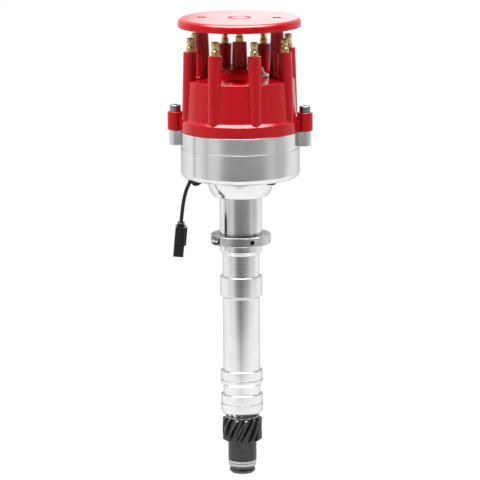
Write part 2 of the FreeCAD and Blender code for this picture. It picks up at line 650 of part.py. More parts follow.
def coil_form(body, radius, wire, length, coils, **spot):
    """A spring drawn as one ring of wire for each coil on a thin sleeve."""
    inner = f"{radius} - 2 * {wire}"
    turn(body, "sleeve", tube(f"{radius} - {wire}", inner, "0", length), **spot)
    pitch = f"({length}) / {coils}"
    for number in range(int(size(coils))):
        middle = f"({number} + 0.5) * {pitch}"
        turn(body, f"coil_{number + 1}", [
            (f"{radius} - 1.5 * {wire}", f"{middle} - {wire}"),
            (radius, middle),
            (f"{radius} - 1.5 * {wire}", f"{middle} + {wire}"),
        ], **spot)


def hexagon(across_flats, y="0"):
    """The corners of a hexagon about the sketch's centre."""
    return [(f"({across_flats}) / sqrt(3) * cos({turn_by})",
             f"{y} + ({across_flats}) / sqrt(3) * sin({turn_by})") for turn_by in range(0, 360, 60)]


def cap_screws():
    """Two socket screws that hold the cap's ears down on the housing's lugs."""
    for side, sign in (("left", "-"), ("right", "")):
        body = new_body(f"cap_screw_{side}")
        turn(body, "screw", [
            ("0", "ear_height - screw_length"),
            ("screw_radius - screw_edge", "ear_height - screw_length"),
            ("screw_radius", "ear_height - screw_length + screw_edge"),
            ("screw_radius", "ear_height"),
            ("screw_head_radius", "ear_height"),
            ("screw_head_radius", "ear_height + screw_head_height - screw_edge"),
            ("screw_head_radius - screw_edge", "ear_height + screw_head_height"),
            ("0", "ear_height + screw_head_height"),
        ])
        push(body, "socket", hexagon("2 * screw_socket"), "screw_socket_depth", cut=True,
             off="ear_height + screw_head_height")
        place(body, x=f"{sign}lug_reach", z="rim")


def wire_retainer():
    """The round wire retainer on the cap's posts, hollow below, and its two screws."""
    body = new_body("wire_retainer")
    hollow = "disc_under + disc_rim + disc_rise - disc_skin - disc_ring_depth"
    turn(body, "disc", [
        ("0", hollow),
        ("disc_radius - disc_skin", hollow),
        ("disc_radius - disc_skin", "disc_under"),
        ("disc_radius", "disc_under"),
        ("disc_radius", "disc_under + disc_rim", "left", "disc_curve"),
        ("disc_radius - disc_bevel", "disc_top"),
        ("disc_ring_outer", "disc_top"),
        ("disc_ring_outer", "disc_top - disc_ring_depth"),
        ("disc_ring_inner", "disc_top - disc_ring_depth"),
        ("disc_ring_inner", "disc_top"),
        ("0", "disc_top"),
    ])
    pad = push(body, "post_pad", {"radius": "post_radius + disc_skin", "x": "post_reach"},
               "disc_rim + disc_rise - disc_skin / 2", off="disc_under")
    repeat(body, [pad], "2")
    recess = push(body, "recess", {"radius": "disc_recess_radius", "x": "post_reach"},
                  "retainer_head_height + disc_ring_depth", cut=True, off="disc_top")
    hole = push(body, "hole", {"radius": "retainer_screw_radius + screw_gap", "x": "post_reach"},
                "disc_rim + disc_rise", cut=True, off="disc_top")
    repeat(body, [recess, hole], "2")
    seat = "disc_rim + disc_rise - retainer_head_height - disc_ring_depth"
    for side, sign in (("left", "-"), ("right", "")):
        screw = new_body(f"retainer_screw_{side}")
        turn(screw, "screw", [
            ("0", "-retainer_screw_length"),
            ("retainer_screw_radius", "-retainer_screw_length"),
            ("retainer_screw_radius", seat),
            ("retainer_head_radius", seat),
            ("retainer_head_radius - screw_edge", f"{seat} + retainer_head_height"),
            ("0", f"{seat} + retainer_head_height"),
        ])
        push(screw, "socket", hexagon("retainer_screw_radius"), "retainer_head_height / 2",
             cut=True, off=f"{seat} + retainer_head_height")
        place(screw, x=f"{sign}post_reach", z="disc_under")


# Shaft and what is fixed to it


def main_shaft():
    body = new_body("main_shaft")
    turn(body, "rod", [
        ("0", "shaft_foot"),
        ("shaft_radius", "shaft_foot"),
        ("shaft_radius", "shaft_top - screw_edge"),
        ("shaft_radius - screw_edge", "shaft_top"),
        ("0", "shaft_top"),
    ])
    push(body, "pin_hole", {"radius": "pin_radius", "y": "gear_foot - pin_drop"},
         "4 * shaft_radius", cut=True, both=True, base="YZ_Plane")
    spacer = new_body("bearing_spacer")
    turn(spacer, "ring", tube("spacer_radius", "shaft_radius", "bearing_top", "spacer_top"))
    washers = {
        "thrust_washer": ("thrust_radius", "gear_top", "gear_top + thrust_thickness"),
        "upper_end_washer": ("upper_washer_radius", "washer_foot", "hub_foot"),
        "lower_end_washer": ("lower_washer_radius", "end_top", "washer_foot"),
    }
    for label, (radius, low, high) in washers.items():
        washer = new_body(label)
        turn(washer, "ring", [
            ("shaft_radius", low), (f"{radius} - washer_edge", low),
            (radius, f"{low} + washer_edge"), (radius, f"{high} - washer_edge"),
            (f"{radius} - washer_edge", high), ("shaft_radius", high),
        ])


def drive_end():
    """The shaft's slotted end, which turns the pump below it."""
    body = new_body("drive_end")
    turn(body, "turning", [
        ("0", "end_foot"),
        ("end_radius - 2 * end_bevel", "end_foot"),
        ("end_radius", "end_foot + 2 * end_bevel"),
        ("end_radius", "end_top - end_ridge_drop"),
        ("end_radius - end_groove", "end_top - end_ridge_drop + end_groove"),
        ("end_radius - end_groove", "end_top"),
        ("shaft_radius", "end_top"),
        ("shaft_radius", "shaft_foot"),
        ("0", "shaft_foot"),
    ])
    push(body, "slot", rectangle("4 * end_radius", "slot_width"), "slot_depth", cut=True,
         off="end_foot + slot_depth")


def gear_outline(steps):
    """The helical gear's section: trapezium teeth round the root circle."""
    teeth = int(size("gear_teeth"))
    pitch = 2 * math.pi / teeth
    root, tip = size("gear_root_radius"), size("gear_radius")
    corners = [(radius, pitch * (tooth + share))
               for tooth in range(teeth) for radius, share in steps(root, tip)]
    spots = [Vector(radius * math.cos(angle), radius * math.sin(angle), 0)
             for radius, angle in corners]
    return Part.makePolygon(spots + spots[:1])


def tooth_steps(root, tip):
    """Radius and share of the pitch at each corner of one tooth."""
    foot_half, tip_half = size("tooth_foot_share"), size("tooth_tip_share")
    return (root, -foot_half), (tip, -tip_half), (tip, tip_half), (root, foot_half)


def drive_gear():
    """The helical gear and its hub, cut by sweeping the section along a helix, and its pin."""
    length, radius = size("gear_length"), size("gear_radius")
    pitch = 2 * math.pi * radius / math.tan(math.radians(size("gear_helix_angle")))
    spine = Part.makePolygon([Vector(), Vector(0, 0, length)])
    sweep = Part.BRepOffsetAPI.MakePipeShell(spine)
    sweep.setAuxiliarySpine(Part.makeHelix(pitch, length, radius), True, 0)
    sweep.add(gear_outline(tooth_steps))
    sweep.build()
    sweep.makeSolid()
    teeth = sweep.shape()
    edge = size("gear_edge")
    ends = Part.makeCone(radius - edge, radius + length / 2 - edge, length / 2)
    top = ends.mirror(Vector(), Vector(0, 0, 1)).translated(Vector(0, 0, length))
    gear = teeth.common(ends.fuse(top))
    hub_length, hub_radius = size("hub_length"), size("hub_radius")
    hub = Part.makeCylinder(hub_radius, hub_length, Vector(0, 0, -hub_length))
    blank = gear.fuse(hub)
    bore = Part.makeCylinder(size("shaft_radius"), length + hub_length, Vector(0, 0, -hub_length))
    pin_height = -size("pin_drop")
    pin_hole = Part.makeCylinder(size("pin_radius"), 4 * hub_radius,
                                 Vector(-2 * hub_radius, 0, pin_height), Vector(1, 0, 0))
    shape = blank.cut(bore).cut(pin_hole)
    piece = doc.addObject("Part::Feature", "drive_gear")
    piece.Label = "drive_gear"
    piece.Shape = shape.removeSplitter()
    piece.Placement = Placement(Vector(0, 0, size("gear_foot")), Rotation())
    pieces.append(piece)
    pin = new_body("gear_pin")
    spot = {"base": "YZ_Plane", "both": True}
    push(pin, "roll", {"radius": "pin_radius", "y": "gear_foot - pin_drop"}, "2 * hub_radius - hub_edge",
         **spot)
    push(pin, "bore", {"radius": "pin_radius / 2", "y": "gear_foot - pin_drop"}, "4 * hub_radius",
         cut=True, **spot)


# Centrifugal advance


def polar(radius, angle):
    return f"({radius}) * cos({angle})", f"({radius}) * sin({angle})"


def sector(inner, outer, start, end):
    """The corners of a ring's sector between two angles."""
    return [polar(inner, start), (*polar(outer, start), "left", outer), polar(outer, end),
            (*polar(inner, end), "right", inner)]


def advance_plate():
    """The plate and sleeve that carry the reluctor, the weights and the rotor."""
    body = new_body("advance_plate")
    bore = "shaft_radius + running_gap"
    turn(body, "plate", [
        (bore, "sleeve_foot"), ("sleeve_radius", "sleeve_foot"), ("sleeve_radius", "plate_under"),
        ("advance_plate_radius", "plate_under"), ("advance_plate_radius", "plate_top"),
        (bore, "plate_top"),
    ])
    spot = dict(zip("xy", polar("rotor_post_reach", "rotor_post_angle")))
    post = push(body, "post", {"radius": "rotor_post_radius", **spot}, "rotor_foot - plate_top",
                off="plate_top")
    repeat(body, [post], "2")
    thread = push(body, "thread", {"radius": "pickup_screw_radius", **spot},
                  "rotor_foot - plate_top", cut=True, off="rotor_foot")
    pin_hole = push(body, "pin_hole", {"radius": "weight_pin_radius", "x": "weight_reach"},
                    "advance_plate_thickness", cut=True, off="plate_top")
    repeat(body, [thread, pin_hole], "2")
    stop = dict(zip("xy", polar("stop_reach", "stop_angle")))
    push(body, "stop_pin", {"radius": "stop_pin_radius", **stop}, "stop_top - plate_top",
         off="plate_top")
    bushing = new_body("stop_bushing")
    push(bushing, "ring", {"radius": "stop_bushing_radius", **stop}, "stop_thickness",
         off="stop_foot")
    push(bushing, "bore", {"radius": "stop_pin_radius", **stop}, "stop_thickness", cut=True,
         off="stop_top")


def reluctor():
    """The eight-toothed wheel whose teeth pass the pickup's pole."""
    body = new_body("reluctor")
    turn(body, "hub", tube("reluctor_root_radius", "sleeve_radius", "reluctor_foot",
                           "reluctor_foot + reluctor_height"))
    reach = "(reluctor_radius + reluctor_root_radius - reluctor_bite) / 2"
    tooth = push(body, "tooth", rectangle("reluctor_radius - reluctor_root_radius + reluctor_bite",
                                          "reluctor_tooth", x=reach),
                 "reluctor_height", off="reluctor_foot")
    repeat(body, [tooth], "tower_count")


def advance_cam():
    """The cam on the shaft's top, with a slotted stop arm and a spring post on each side."""
    body = new_body("advance_cam")
    turn(body, "hub", tube("cam_radius", "shaft_radius", "weight_foot", "stop_top"))
    play = "asin((stop_bushing_radius + stop_play) / stop_reach) / 1 deg"
    slot_half = "(stop_bushing_radius + stop_play)"
    arm = push(body, "arm", sector("(shaft_radius + cam_radius) / 2", "stop_reach + stop_arm",
                                   "stop_angle - arm_angle_before", "stop_angle + arm_angle_after"),
               "stop_thickness", off="stop_foot")
    spot = dict(zip("xy", polar("spring_post_reach", SPRING_POST_ANGLE)))
    post = push(body, "spring_post", {"radius": "spring_post_radius", **spot},
                "stop_thickness + post_top", off="stop_foot")
    repeat(body, [arm, post], "2")
    slot = push(body, "slot", sector(f"stop_reach - {slot_half}", f"stop_reach + {slot_half}",
                                     f"stop_angle - advance_angle - {play}", f"stop_angle + {play}"),
                "stop_thickness", cut=True, off="stop_top")


def flyweights():
    """Two weights that swing out on their pins, and the springs that hold them in."""
    pins = new_body("weight_pins")
    pin = turn(pins, "pin", [
        ("0", "plate_under"), ("weight_pin_radius", "plate_under"),
        ("weight_pin_radius", "weight_top + joint_gap"),
        ("weight_pin_radius / 2", "weight_top + joint_gap"),
        ("weight_pin_radius / 2", "stop_top + post_top"), ("0", "stop_top + post_top"),
    ], across="weight_reach")
    repeat(pins, [pin], "2")
    for side, turn_by in (("left", "180"), ("right", "0")):
        body = new_body(f"flyweight_{side}")
        push(body, "arc", sector("weight_inner", "weight_outer", "0", "weight_span_angle"),
             "weight_thickness", off="weight_foot")
        push(body, "eye", {"radius": "weight_eye", "x": "weight_reach"}, "weight_thickness",
             off="weight_foot")
        push(body, "pin_hole", {"radius": "weight_pin_radius + weight_pin_gap", "x": "weight_reach"},
             "weight_thickness", cut=True, off="weight_top")
        place(body, turn_by=turn_by)
    post = Vector(*[size(rule) for rule in polar("spring_post_reach", f"{SPRING_POST_ANGLE} - 180")])
    pin = Vector(size("weight_reach"), 0, 0)
    reach = pin - post
    gap = size("joint_gap")
    start = size("spring_post_radius") + gap
    free = reach.Length - start - size("weight_pin_radius") / 2 - gap
    for side, turn_by in (("left", 180), ("right", 0)):
        body = new_body(f"advance_spring_{side}")
        coil_form(body, "advance_spring_radius", "spring_wire", str(round(free, 4)), "spring_coils")
        foot = post + reach.normalize() * start + Vector(0, 0, size("spring_level"))
        lay = Placement(foot, Rotation(Vector(0, 0, 1), reach))
        body.Placement = Placement(Vector(), Rotation(Vector(0, 0, 1), turn_by)).multiply(lay)


def rotor():
    """The rotor on the advance plate's posts, with its blade, contact leaf and screws."""
    body = new_body("rotor")
    turn(body, "turning", [
        ("rotor_cone_top - rotor_plate", "rotor_foot"),
        ("rotor_radius", "rotor_foot"),
        ("rotor_radius", "rotor_foot + rotor_plate"),
        ("rotor_cone_foot", "rotor_foot + rotor_plate"),
        ("rotor_cone_top", "rotor_top"),
        ("0", "rotor_top"),
        ("0", "rotor_top - rotor_arm_height"),
        ("rotor_cone_top - rotor_plate", "rotor_top - rotor_arm_height"),
    ])
    push(body, "arm", rectangle("rotor_arm_reach", "rotor_arm_width", x="rotor_arm_reach / 2"),
         "rotor_arm_height", off="rotor_top - rotor_arm_height")
    spot = dict(zip("xy", polar("rotor_post_reach", "rotor_post_angle")))
    hole = push(body, "screw_hole", {"radius": "pickup_screw_radius", **spot}, "rotor_plate",
                cut=True, off="rotor_foot + rotor_plate")
    repeat(body, [hole], "2")
    screws = new_body("rotor_screws")
    shank = push(screws, "shank", {"radius": "pickup_screw_radius", **spot},
                 "rotor_foot + rotor_plate - plate_top", off="plate_top")
    head = push(screws, "head", {"radius": "pickup_screw_head", **spot}, "pickup_plate",
                off="rotor_foot + rotor_plate")
    repeat(screws, [shank, head], "2")
    blade = new_body("rotor_blade")
    tip = "cap_bore - contact_stand - air_gap"
    push(blade, "strip", rectangle(f"{tip} + blade_start", "blade_width",
                                   x=f"({tip} - blade_start) / 2"),
         "blade_thickness", off="rotor_top")
    leaf = new_body("rotor_leaf")
    low = "rotor_top + blade_thickness"
    push(leaf, "strip", [
        ("leaf_reach", low), ("leaf_reach", f"{low} + leaf_thickness"),
        ("leaf_reach / 2", f"{low} + leaf_thickness"),
        ("leaf_width / 4", "leaf_top"), ("-leaf_width / 2", "leaf_top"),
        ("-leaf_width / 2", "leaf_top - leaf_thickness"),
        ("leaf_width / 4", "leaf_top - leaf_thickness"), ("leaf_reach / 2", low),
    ], "leaf_width", both=True, base="XZ_Plane")


# Slip collar


def collar():
    """The split collar on the barrel, its clamp screw across the slit and its set screw."""
    body = new_body("slip_collar")
    bore = "barrel_radius + collar_gap"
    turn(body, "ring", [
        (bore, "0"), ("collar_radius - collar_edge", "0"), ("collar_radius", "collar_edge"),
        ("collar_radius", "collar_height - collar_edge"),
        ("collar_radius - collar_edge", "collar_height"), (bore, "collar_height"),
    ])
    push(body, "slit", rectangle("collar_radius", "slit_width", x="collar_radius"),
         "collar_height", cut=True, off="collar_height")
    spot = {"x": "clamp_reach", "y": "collar_height / 2"}
    push(body, "head_pocket", {"radius": "clamp_head_radius + clamp_pocket_gap", **spot},
         "collar_radius", cut=True, base="XZ_Plane", off="-clamp_face")
    push(body, "clamp_hole", {"radius": "clamp_radius", **spot}, "2 * clamp_length", cut=True,
         both=True, base="XZ_Plane")
    side = turned_plane(body, "set_screw", "set_screw_angle - collar_angle", role="YZ_Plane")
    push(body, "set_screw_hole", {"radius": "set_screw_radius", "y": "collar_height / 2"},
         "collar_radius", cut=True, base=side, off="collar_radius")
    clamp = new_body("collar_clamp_screw")
    push(clamp, "head", {"radius": "clamp_head_radius", **spot}, "clamp_head_height",
         base="XZ_Plane", off="-clamp_face - clamp_head_height")
    push(clamp, "shank", {"radius": "clamp_radius", **spot}, "clamp_length", base="XZ_Plane",
         off="-clamp_face")
    socket = push(clamp, "socket", {"radius": "clamp_radius - collar_edge", **spot},
                  "clamp_head_height / 2", cut=True, base="XZ_Plane",
                  off="-clamp_face - clamp_head_height")
    socket.Reversed = True
    set_screw = new_body("collar_set_screw")
    depth = "collar_radius - set_screw_sunk - set_screw_length"
    push(set_screw, "rod", {"radius": "set_screw_radius", "y": "collar_height / 2"},
         "set_screw_length", base="YZ_Plane", off=depth)
    push(set_screw, "socket", {"radius": "set_screw_radius / 2", "y": "collar_height / 2"},
         "set_screw_length / 2", cut=True, base="YZ_Plane", off=f"{depth} + set_screw_length")
    place(body, turn_by="collar_angle")
    place(clamp, turn_by="collar_angle")
    place(set_screw, turn_by="set_screw_angle")


# Grommet, vent plug, lead and connector


def grommet():
    """The rubber grommet under the bowl, with the snout that the lead leaves through."""
    body = new_body("lead_grommet")
    left, right = "-grommet_length / 2", "grommet_length / 2"
    push(body, "wedge", [
        (left, "neck_top"), (left, "neck_top - grommet_lip"),
        ("-grommet_length / 4", "neck_top - grommet_drop"),
        ("0", "neck_top - grommet_drop"), (right, "neck_top - grommet_lip"), (right, "neck_top"),
    ], "grommet_width", both=True, base="XZ_Plane")
    turn(body, "snout", [
        ("0", "0"), ("snout_radius", "0"), ("snout_radius", "snout_length"), ("0", "snout_length"),
    ], across="snout_across", up="neck_top - snout_drop", lean="-snout_angle")
    push(body, "trim", rectangle("2 * grommet_length", "2 * grommet_width"), "bowl_floor",
         cut=True, off="neck_top + bowl_floor")
    push(body, "plug", {"radius": "grommet_plug"}, "bowl_floor", off="neck_top")
    push(body, "inner_lip", {"radius": "grommet_plug + grommet_lip / 2"}, "grommet_lip",
         off="floor_top")
    place(body, x="grommet_across", y="grommet_along", turn_by="grommet_angle")


def vent_plug():
    body = new_body("vent_plug")
    turn(body, "plug", [
        ("0", "-vent_head"), ("vent_head_radius - screw_edge", "-vent_head"),
        ("vent_head_radius", "screw_edge - vent_head"), ("vent_head_radius", "0"),
        ("vent_radius", "0"), ("vent_radius", "bowl_floor"), ("0", "bowl_floor"),
    ])
    place(body, x="vent_across", y="vent_along", z="neck_top")


def route_edges(route):
    """Straight runs joined by arcs that are tangent to them, as large as the runs allow."""
    edges, start = [], route[0]
    for before, corner, after in zip(route, route[1:], route[2:]):
        come, go = (corner - before), (after - corner)
        shorter = min(come.Length, go.Length)
        half_turn = come.getAngle(go) / 2
        back = ARC_SHARE * shorter
        come.normalize()
        go.normalize()
        radius = back / math.tan(half_turn)
        print(f"lead arc radius {radius:.1f} mm")
        enter, leave = corner - come * back, corner + go * back
        inward = (go - come).normalize()
        middle = corner + inward * (radius / math.cos(half_turn) - radius)
        edges.append(Part.LineSegment(start, enter).toShape())
        edges.append(Part.Arc(enter, middle, leave).toShape())
        start = leave
    edges.append(Part.LineSegment(start, route[-1]).toShape())
    return edges


def lead():
    """The pickup's lead, from the grommet's snout to the connector's boot."""
    path = Part.Wire(route_edges(LEAD_ROUTE))
    radius = size("lead_radius")
    section = Part.Wire(Part.Circle(LEAD_ROUTE[0], LEAD_ROUTE[1] - LEAD_ROUTE[0], radius).toShape())
    shape = path.makePipeShell([section], True, False)
    expected = math.pi * radius ** 2 * path.Length
    print(f"lead length {path.Length:.1f} mm, volume {shape.Volume / expected:.4f} of section by length")
    piece = doc.addObject("Part::Feature", "lead")
    piece.Label = "lead"
    piece.Shape = shape
    piece.Placement = Placement()
    pieces.append(piece)


def rounded(width, depth, edge):
    """The corners of a rectangle with round corners about the sketch's centre."""
    across, along = f"({width}) / 2", f"({depth}) / 2"
    bend = ("left", edge)
    return [
        (f"{across} - {edge}", f"-({along})", *bend), (across, f"{edge} - {along}"),
        (across, f"{along} - {edge}", *bend), (f"{across} - {edge}", along),
        (f"{edge} - {across}", along, *bend), (f"-({across})", f"{along} - {edge}"),
        (f"-({across})", f"{edge} - {along}", *bend), (f"{edge} - {across}", f"-({along})"),
    ]


def connector():
    """The connector on the lead's end: boot, body with a latch, open shroud and its pins."""
    last, before = LEAD_ROUTE[-1], LEAD_ROUTE[-2]
    hang = Rotation(Vector(0, 0, -1), last - before)
    lie = Placement(last, hang.multiply(Rotation(Vector(0, 0, 1), size("grommet_angle"))))
    boot = new_body("connector_boot")
    push(boot, "block", rounded("boot_width", "boot_depth", "connector_edge"), "boot_length",
         off="-boot_length")
    body = new_body("connector_body")
    body_foot = "-boot_length - connector_length"
    push(body, "neck", rounded("shroud_width - 2 * joint_groove", "shroud_depth - 2 * joint_groove",
                               "connector_edge"), "joint_groove", off=body_foot)
    push(body, "block", rounded("connector_width", "connector_depth", "connector_edge"),
         "connector_length - joint_groove", off=body_foot + " + joint_groove")
    push(body, "shroud", rounded("shroud_width", "shroud_depth", "connector_edge"), "shroud_length",
         off="shroud_foot")
    push(body, "latch", rectangle("latch_rise", "latch_width",
                                  x="(connector_width + latch_rise) / 2"),
         "latch_length", off="-boot_length - latch_drop - latch_length")
    mouth = push(body, "mouth", rectangle("shroud_width - 2 * connector_wall",
                                          "shroud_depth - 2 * connector_wall"),
                 "contact_pin_length", cut=True, off="shroud_foot")
    mouth.Reversed = True
    pins = new_body("connector_pins")
    for side, sign in (("near", "-"), ("far", "")):
        push(pins, f"pin_{side}", {"radius": "contact_pin_radius", "y": f"{sign}pin_spread"},
             "contact_pin_length - connector_wall", off="shroud_foot + connector_wall")
    for piece in (boot, body, pins):
        piece.Placement = lie


def check_and_write():
    """Stop at anything that failed, then write each piece to its own file."""
    doc.recompute()
    for item in doc.Objects:
        if {"Invalid", "Error"} & set(item.State):
            raise ValueError(f"{item.Name} failed: {item.State}")
        if item.isDerivedFrom("PartDesign::Feature") and hasattr(item, "BaseFeature"):
            cuts = item.TypeId in ("PartDesign::Pocket", "PartDesign::Groove")
            if cuts and item.Shape.Volume > item.BaseFeature.Shape.Volume - 1e-6:
                raise ValueError(f"{item.Name} cuts nothing")
    os.makedirs("parts", exist_ok=True)
    for piece in pieces:
        if piece.Shape.isNull() or not piece.Shape.isValid():
            raise ValueError(f"{piece.Label} is not a valid shape")
        piece.Shape.exportStep(f"parts/{piece.Label}.step")
    print(len(pieces), "pieces written")


fill_sheet()
housing()
bearing()
pickup()
cap()
terminals()
button()
cap_screws()
wire_retainer()
main_shaft()
drive_end()
drive_gear()
advance_plate()
reluctor()
advance_cam()
flyweights()
rotor()
collar()
grommet()
vent_plug()
lead()
connector()
check_and_write()
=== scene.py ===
"""An ignition distributor on a pale floor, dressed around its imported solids."""

import json
import math

import bmesh
import bpy
from mathutils import Matrix, Vector


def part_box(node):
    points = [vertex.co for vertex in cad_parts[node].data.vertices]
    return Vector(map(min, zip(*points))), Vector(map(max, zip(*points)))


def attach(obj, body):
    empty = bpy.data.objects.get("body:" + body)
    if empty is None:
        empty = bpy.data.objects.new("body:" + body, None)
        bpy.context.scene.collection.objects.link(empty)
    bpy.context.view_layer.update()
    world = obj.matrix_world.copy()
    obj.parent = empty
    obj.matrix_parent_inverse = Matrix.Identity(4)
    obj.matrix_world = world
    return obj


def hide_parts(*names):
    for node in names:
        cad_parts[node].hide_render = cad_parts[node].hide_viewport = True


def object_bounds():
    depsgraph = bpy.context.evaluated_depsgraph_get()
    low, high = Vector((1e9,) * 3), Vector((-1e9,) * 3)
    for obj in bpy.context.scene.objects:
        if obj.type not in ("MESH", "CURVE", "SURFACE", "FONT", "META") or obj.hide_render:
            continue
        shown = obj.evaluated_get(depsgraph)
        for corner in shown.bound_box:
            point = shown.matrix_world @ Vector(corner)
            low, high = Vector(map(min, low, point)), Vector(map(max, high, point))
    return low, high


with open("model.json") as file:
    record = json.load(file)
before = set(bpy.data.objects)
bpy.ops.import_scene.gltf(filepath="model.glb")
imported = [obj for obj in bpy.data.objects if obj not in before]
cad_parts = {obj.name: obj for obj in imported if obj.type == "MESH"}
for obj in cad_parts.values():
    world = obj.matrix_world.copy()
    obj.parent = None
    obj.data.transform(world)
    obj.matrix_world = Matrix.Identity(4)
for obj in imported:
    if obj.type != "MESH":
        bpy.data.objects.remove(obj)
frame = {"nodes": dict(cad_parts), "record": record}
solid_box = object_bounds()

bl_info = {
    "name": "Ignition distributor",
    "version": (1, 0, 0),
    "blender": (4, 5, 0),
    "location": "View3D > Sidebar > Distributor",
    "description": "Housing, cap, drive gear and fittings of an ignition distributor",
    "category": "Object",
}

MM = 0.001
ROUND_STEPS = 160
SMALL_STEPS = 64
SIDES = (("right", 0), ("left", 180))


# Meshes


def new_object(name, mesh, body):
    """A piece of that mesh, riding on its body."""
    piece = bpy.data.objects.new(name, mesh)
    bpy.context.scene.collection.objects.link(piece)
    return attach(piece, body)


def mesh_from(name, form):
    """The mesh of a finished bmesh form, shaded smooth."""
    bmesh.ops.recalc_face_normals(form, faces=form.faces)
    for face in form.faces:
        face.smooth = True
    mesh = bpy.data.meshes.new(name)
    form.to_mesh(mesh)
    form.free()
    return mesh


def softened(corners, edge, steps=3):
    """A closed half section, in millimetres, with each sharp corner rounded off."""
    rounded = []
    count = len(corners)
    for index, corner in enumerate(corners):
        spot = Vector(corner[:2])
        before = Vector(corners[index - 1][:2]) - spot
        after = Vector(corners[(index + 1) % count][:2]) - spot
        reach = corner[2] if len(corner) > 2 else edge
        bend = before.angle(after, math.pi)
        if reach <= 0 or bend > math.radians(172):
            rounded.append(spot)
            continue
        reach = min(reach, before.length * 0.45, after.length * 0.45)
        start, end = spot + before.normalized() * reach, spot + after.normalized() * reach
        for step in range(steps + 1):
            share = step / steps
            rounded.append(start * (1 - share) ** 2 + spot * 2 * share * (1 - share)
                           + end * share ** 2)
    return rounded


def turned(section, steps=ROUND_STEPS):
    """A bmesh form turned about the upright axis from a closed half section in millimetres."""
    form = bmesh.new()
    rings = []
    for point in section:
        if point[0] < 1e-6:
            rings.append([form.verts.new((0, 0, point[1] * MM))])
            continue
        rings.append([form.verts.new((point[0] * MM * math.cos(2 * math.pi * step / steps),
                                      point[0] * MM * math.sin(2 * math.pi * step / steps),
                                      point[1] * MM)) for step in range(steps)])
    for index, ring in enumerate(rings):
        following = rings[(index + 1) % len(rings)]
        if len(ring) == 1 and len(following) == 1:
            continue
        for step in range(steps):
            after = (step + 1) % steps
            if len(ring) == 1:
                form.faces.new((ring[0], following[step], following[after]))
            elif len(following) == 1:
                form.faces.new((ring[step], following[0], ring[after]))
            else:
                form.faces.new((ring[step], following[step], following[after], ring[after]))
    return form


def arc(centre, radius, start, end, steps=8):
    """Points along an arc between two angles in degrees."""
    angles = [math.radians(start + (end - start) * step / steps) for step in range(steps + 1)]
    return [(centre[0] + radius * math.cos(angle), centre[1] + radius * math.sin(angle))
            for angle in angles]


def boss_outline(inner, reach, radius, half_width):
    """A round boss at a reach along X, with a web back to an inner line."""
    start = math.degrees(math.asin(half_width / radius))
    return [(inner, -half_width), *arc((reach, 0), radius, start - 180, 180 - start, 40),
            (inner, half_width)]


def merged(forms):
    """One form of several shells."""
    whole = bmesh.new()
    for form in forms:
        shell = bpy.data.meshes.new("shell")
        form.to_mesh(shell)
        form.free()
        whole.from_mesh(shell)
        bpy.data.meshes.remove(shell)
    return whole


def moved(form, place):
    """The form with a matrix applied to it."""
    bmesh.ops.transform(form, matrix=place, verts=form.verts)
    return form


def set_at(form, turn=0.0, x=0.0, y=0.0, z=0.0, lean=0.0):
    """Lean a form towards the shaft, set it at its spot and turn it about the shaft's axis."""
    return moved(form, Matrix.Rotation(math.radians(turn), 4, "Z")
                 @ Matrix.Translation(Vector((x, y, z)) * MM)
                 @ Matrix.Rotation(math.radians(-lean), 4, "Y"))


def laid_along_x(form):
    """Lay an upright form down, so that its top points along X."""
    return moved(form, Matrix.Rotation(math.radians(90), 4, "Y"))


def blocked(outline, low_z, high_z):
    """A bmesh form of an outline in millimetres, stood up between two heights."""
    form = bmesh.new()
    foot = [form.verts.new((x * MM, y * MM, low_z * MM)) for x, y in outline]
    head = [form.verts.new((x * MM, y * MM, high_z * MM)) for x, y in outline]
    form.faces.new(list(reversed(foot)))
    form.faces.new(head)
    for index in range(len(outline)):
        after = (index + 1) % len(outline)
        form.faces.new((foot[index], foot[after], head[after], head[index]))
    return form


def broken_edges(form, width, angle=30.0, segments=2):
    """Round off the form's sharp edges."""
    form.normal_update()
    edges = [edge for edge in form.edges if len(edge.link_faces) == 2
             and edge.calc_face_angle(0) > math.radians(angle)]
    bmesh.ops.bevel(form, geom=edges, offset=width * MM, offset_type="OFFSET",
                    segments=segments, profile=0.5, affect="EDGES", clamp_overlap=True)
    return form


def cleaned(node, edge=0.0, angle=28.0):
    """A copy of a solid's mesh with its flat faces joined and its edges softened."""
    form = bmesh.new()
    form.from_mesh(frame["nodes"][node].data)
    bmesh.ops.remove_doubles(form, verts=form.verts, dist=2e-6)
    bmesh.ops.dissolve_limit(form, angle_limit=math.radians(0.6), verts=form.verts,
                             edges=form.edges)
    if edge:
        broken_edges(form, edge, angle)
    return form


def finished(name, form, body, slot_name, node_name, sharp=40.0):
    """A piece of the form, smooth between its sharp edges, in the place of its solid."""
    mesh = mesh_from(name, form)
    mesh.set_sharp_from_angle(angle=math.radians(sharp))
    piece = new_object(name, mesh, body)
    dress(piece, slot_name)
    even = piece.modifiers.new("even_normals", "WEIGHTED_NORMAL")
    even.keep_sharp = True
    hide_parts(node_name)
    return piece


def cut_out(form, cutters):
    """The form with the cutters taken out of it."""
    plain = []
    for shape in (form, *cutters):
        bmesh.ops.recalc_face_normals(shape, faces=shape.faces)
        mesh = bpy.data.meshes.new("plain")
        shape.to_mesh(mesh)
        shape.free()
        plain.append(bpy.data.objects.new("plain", mesh))
        bpy.context.scene.collection.objects.link(plain[-1])
    for cutter in plain[1:]:
        difference = plain[0].modifiers.new("cut", "BOOLEAN")
        difference.operation = "DIFFERENCE"
        difference.solver = "EXACT"
        difference.object = cutter
    bpy.context.view_layer.update()
    graph = bpy.context.evaluated_depsgraph_get()
    mesh = bpy.data.meshes.new_from_object(plain[0].evaluated_get(graph))
    rest = bmesh.new()
    rest.from_mesh(mesh)
    for piece in plain:
        spare = piece.data
        bpy.data.objects.remove(piece)
        bpy.data.meshes.remove(spare)
    bpy.data.meshes.remove(mesh)
    return rest


# Materials


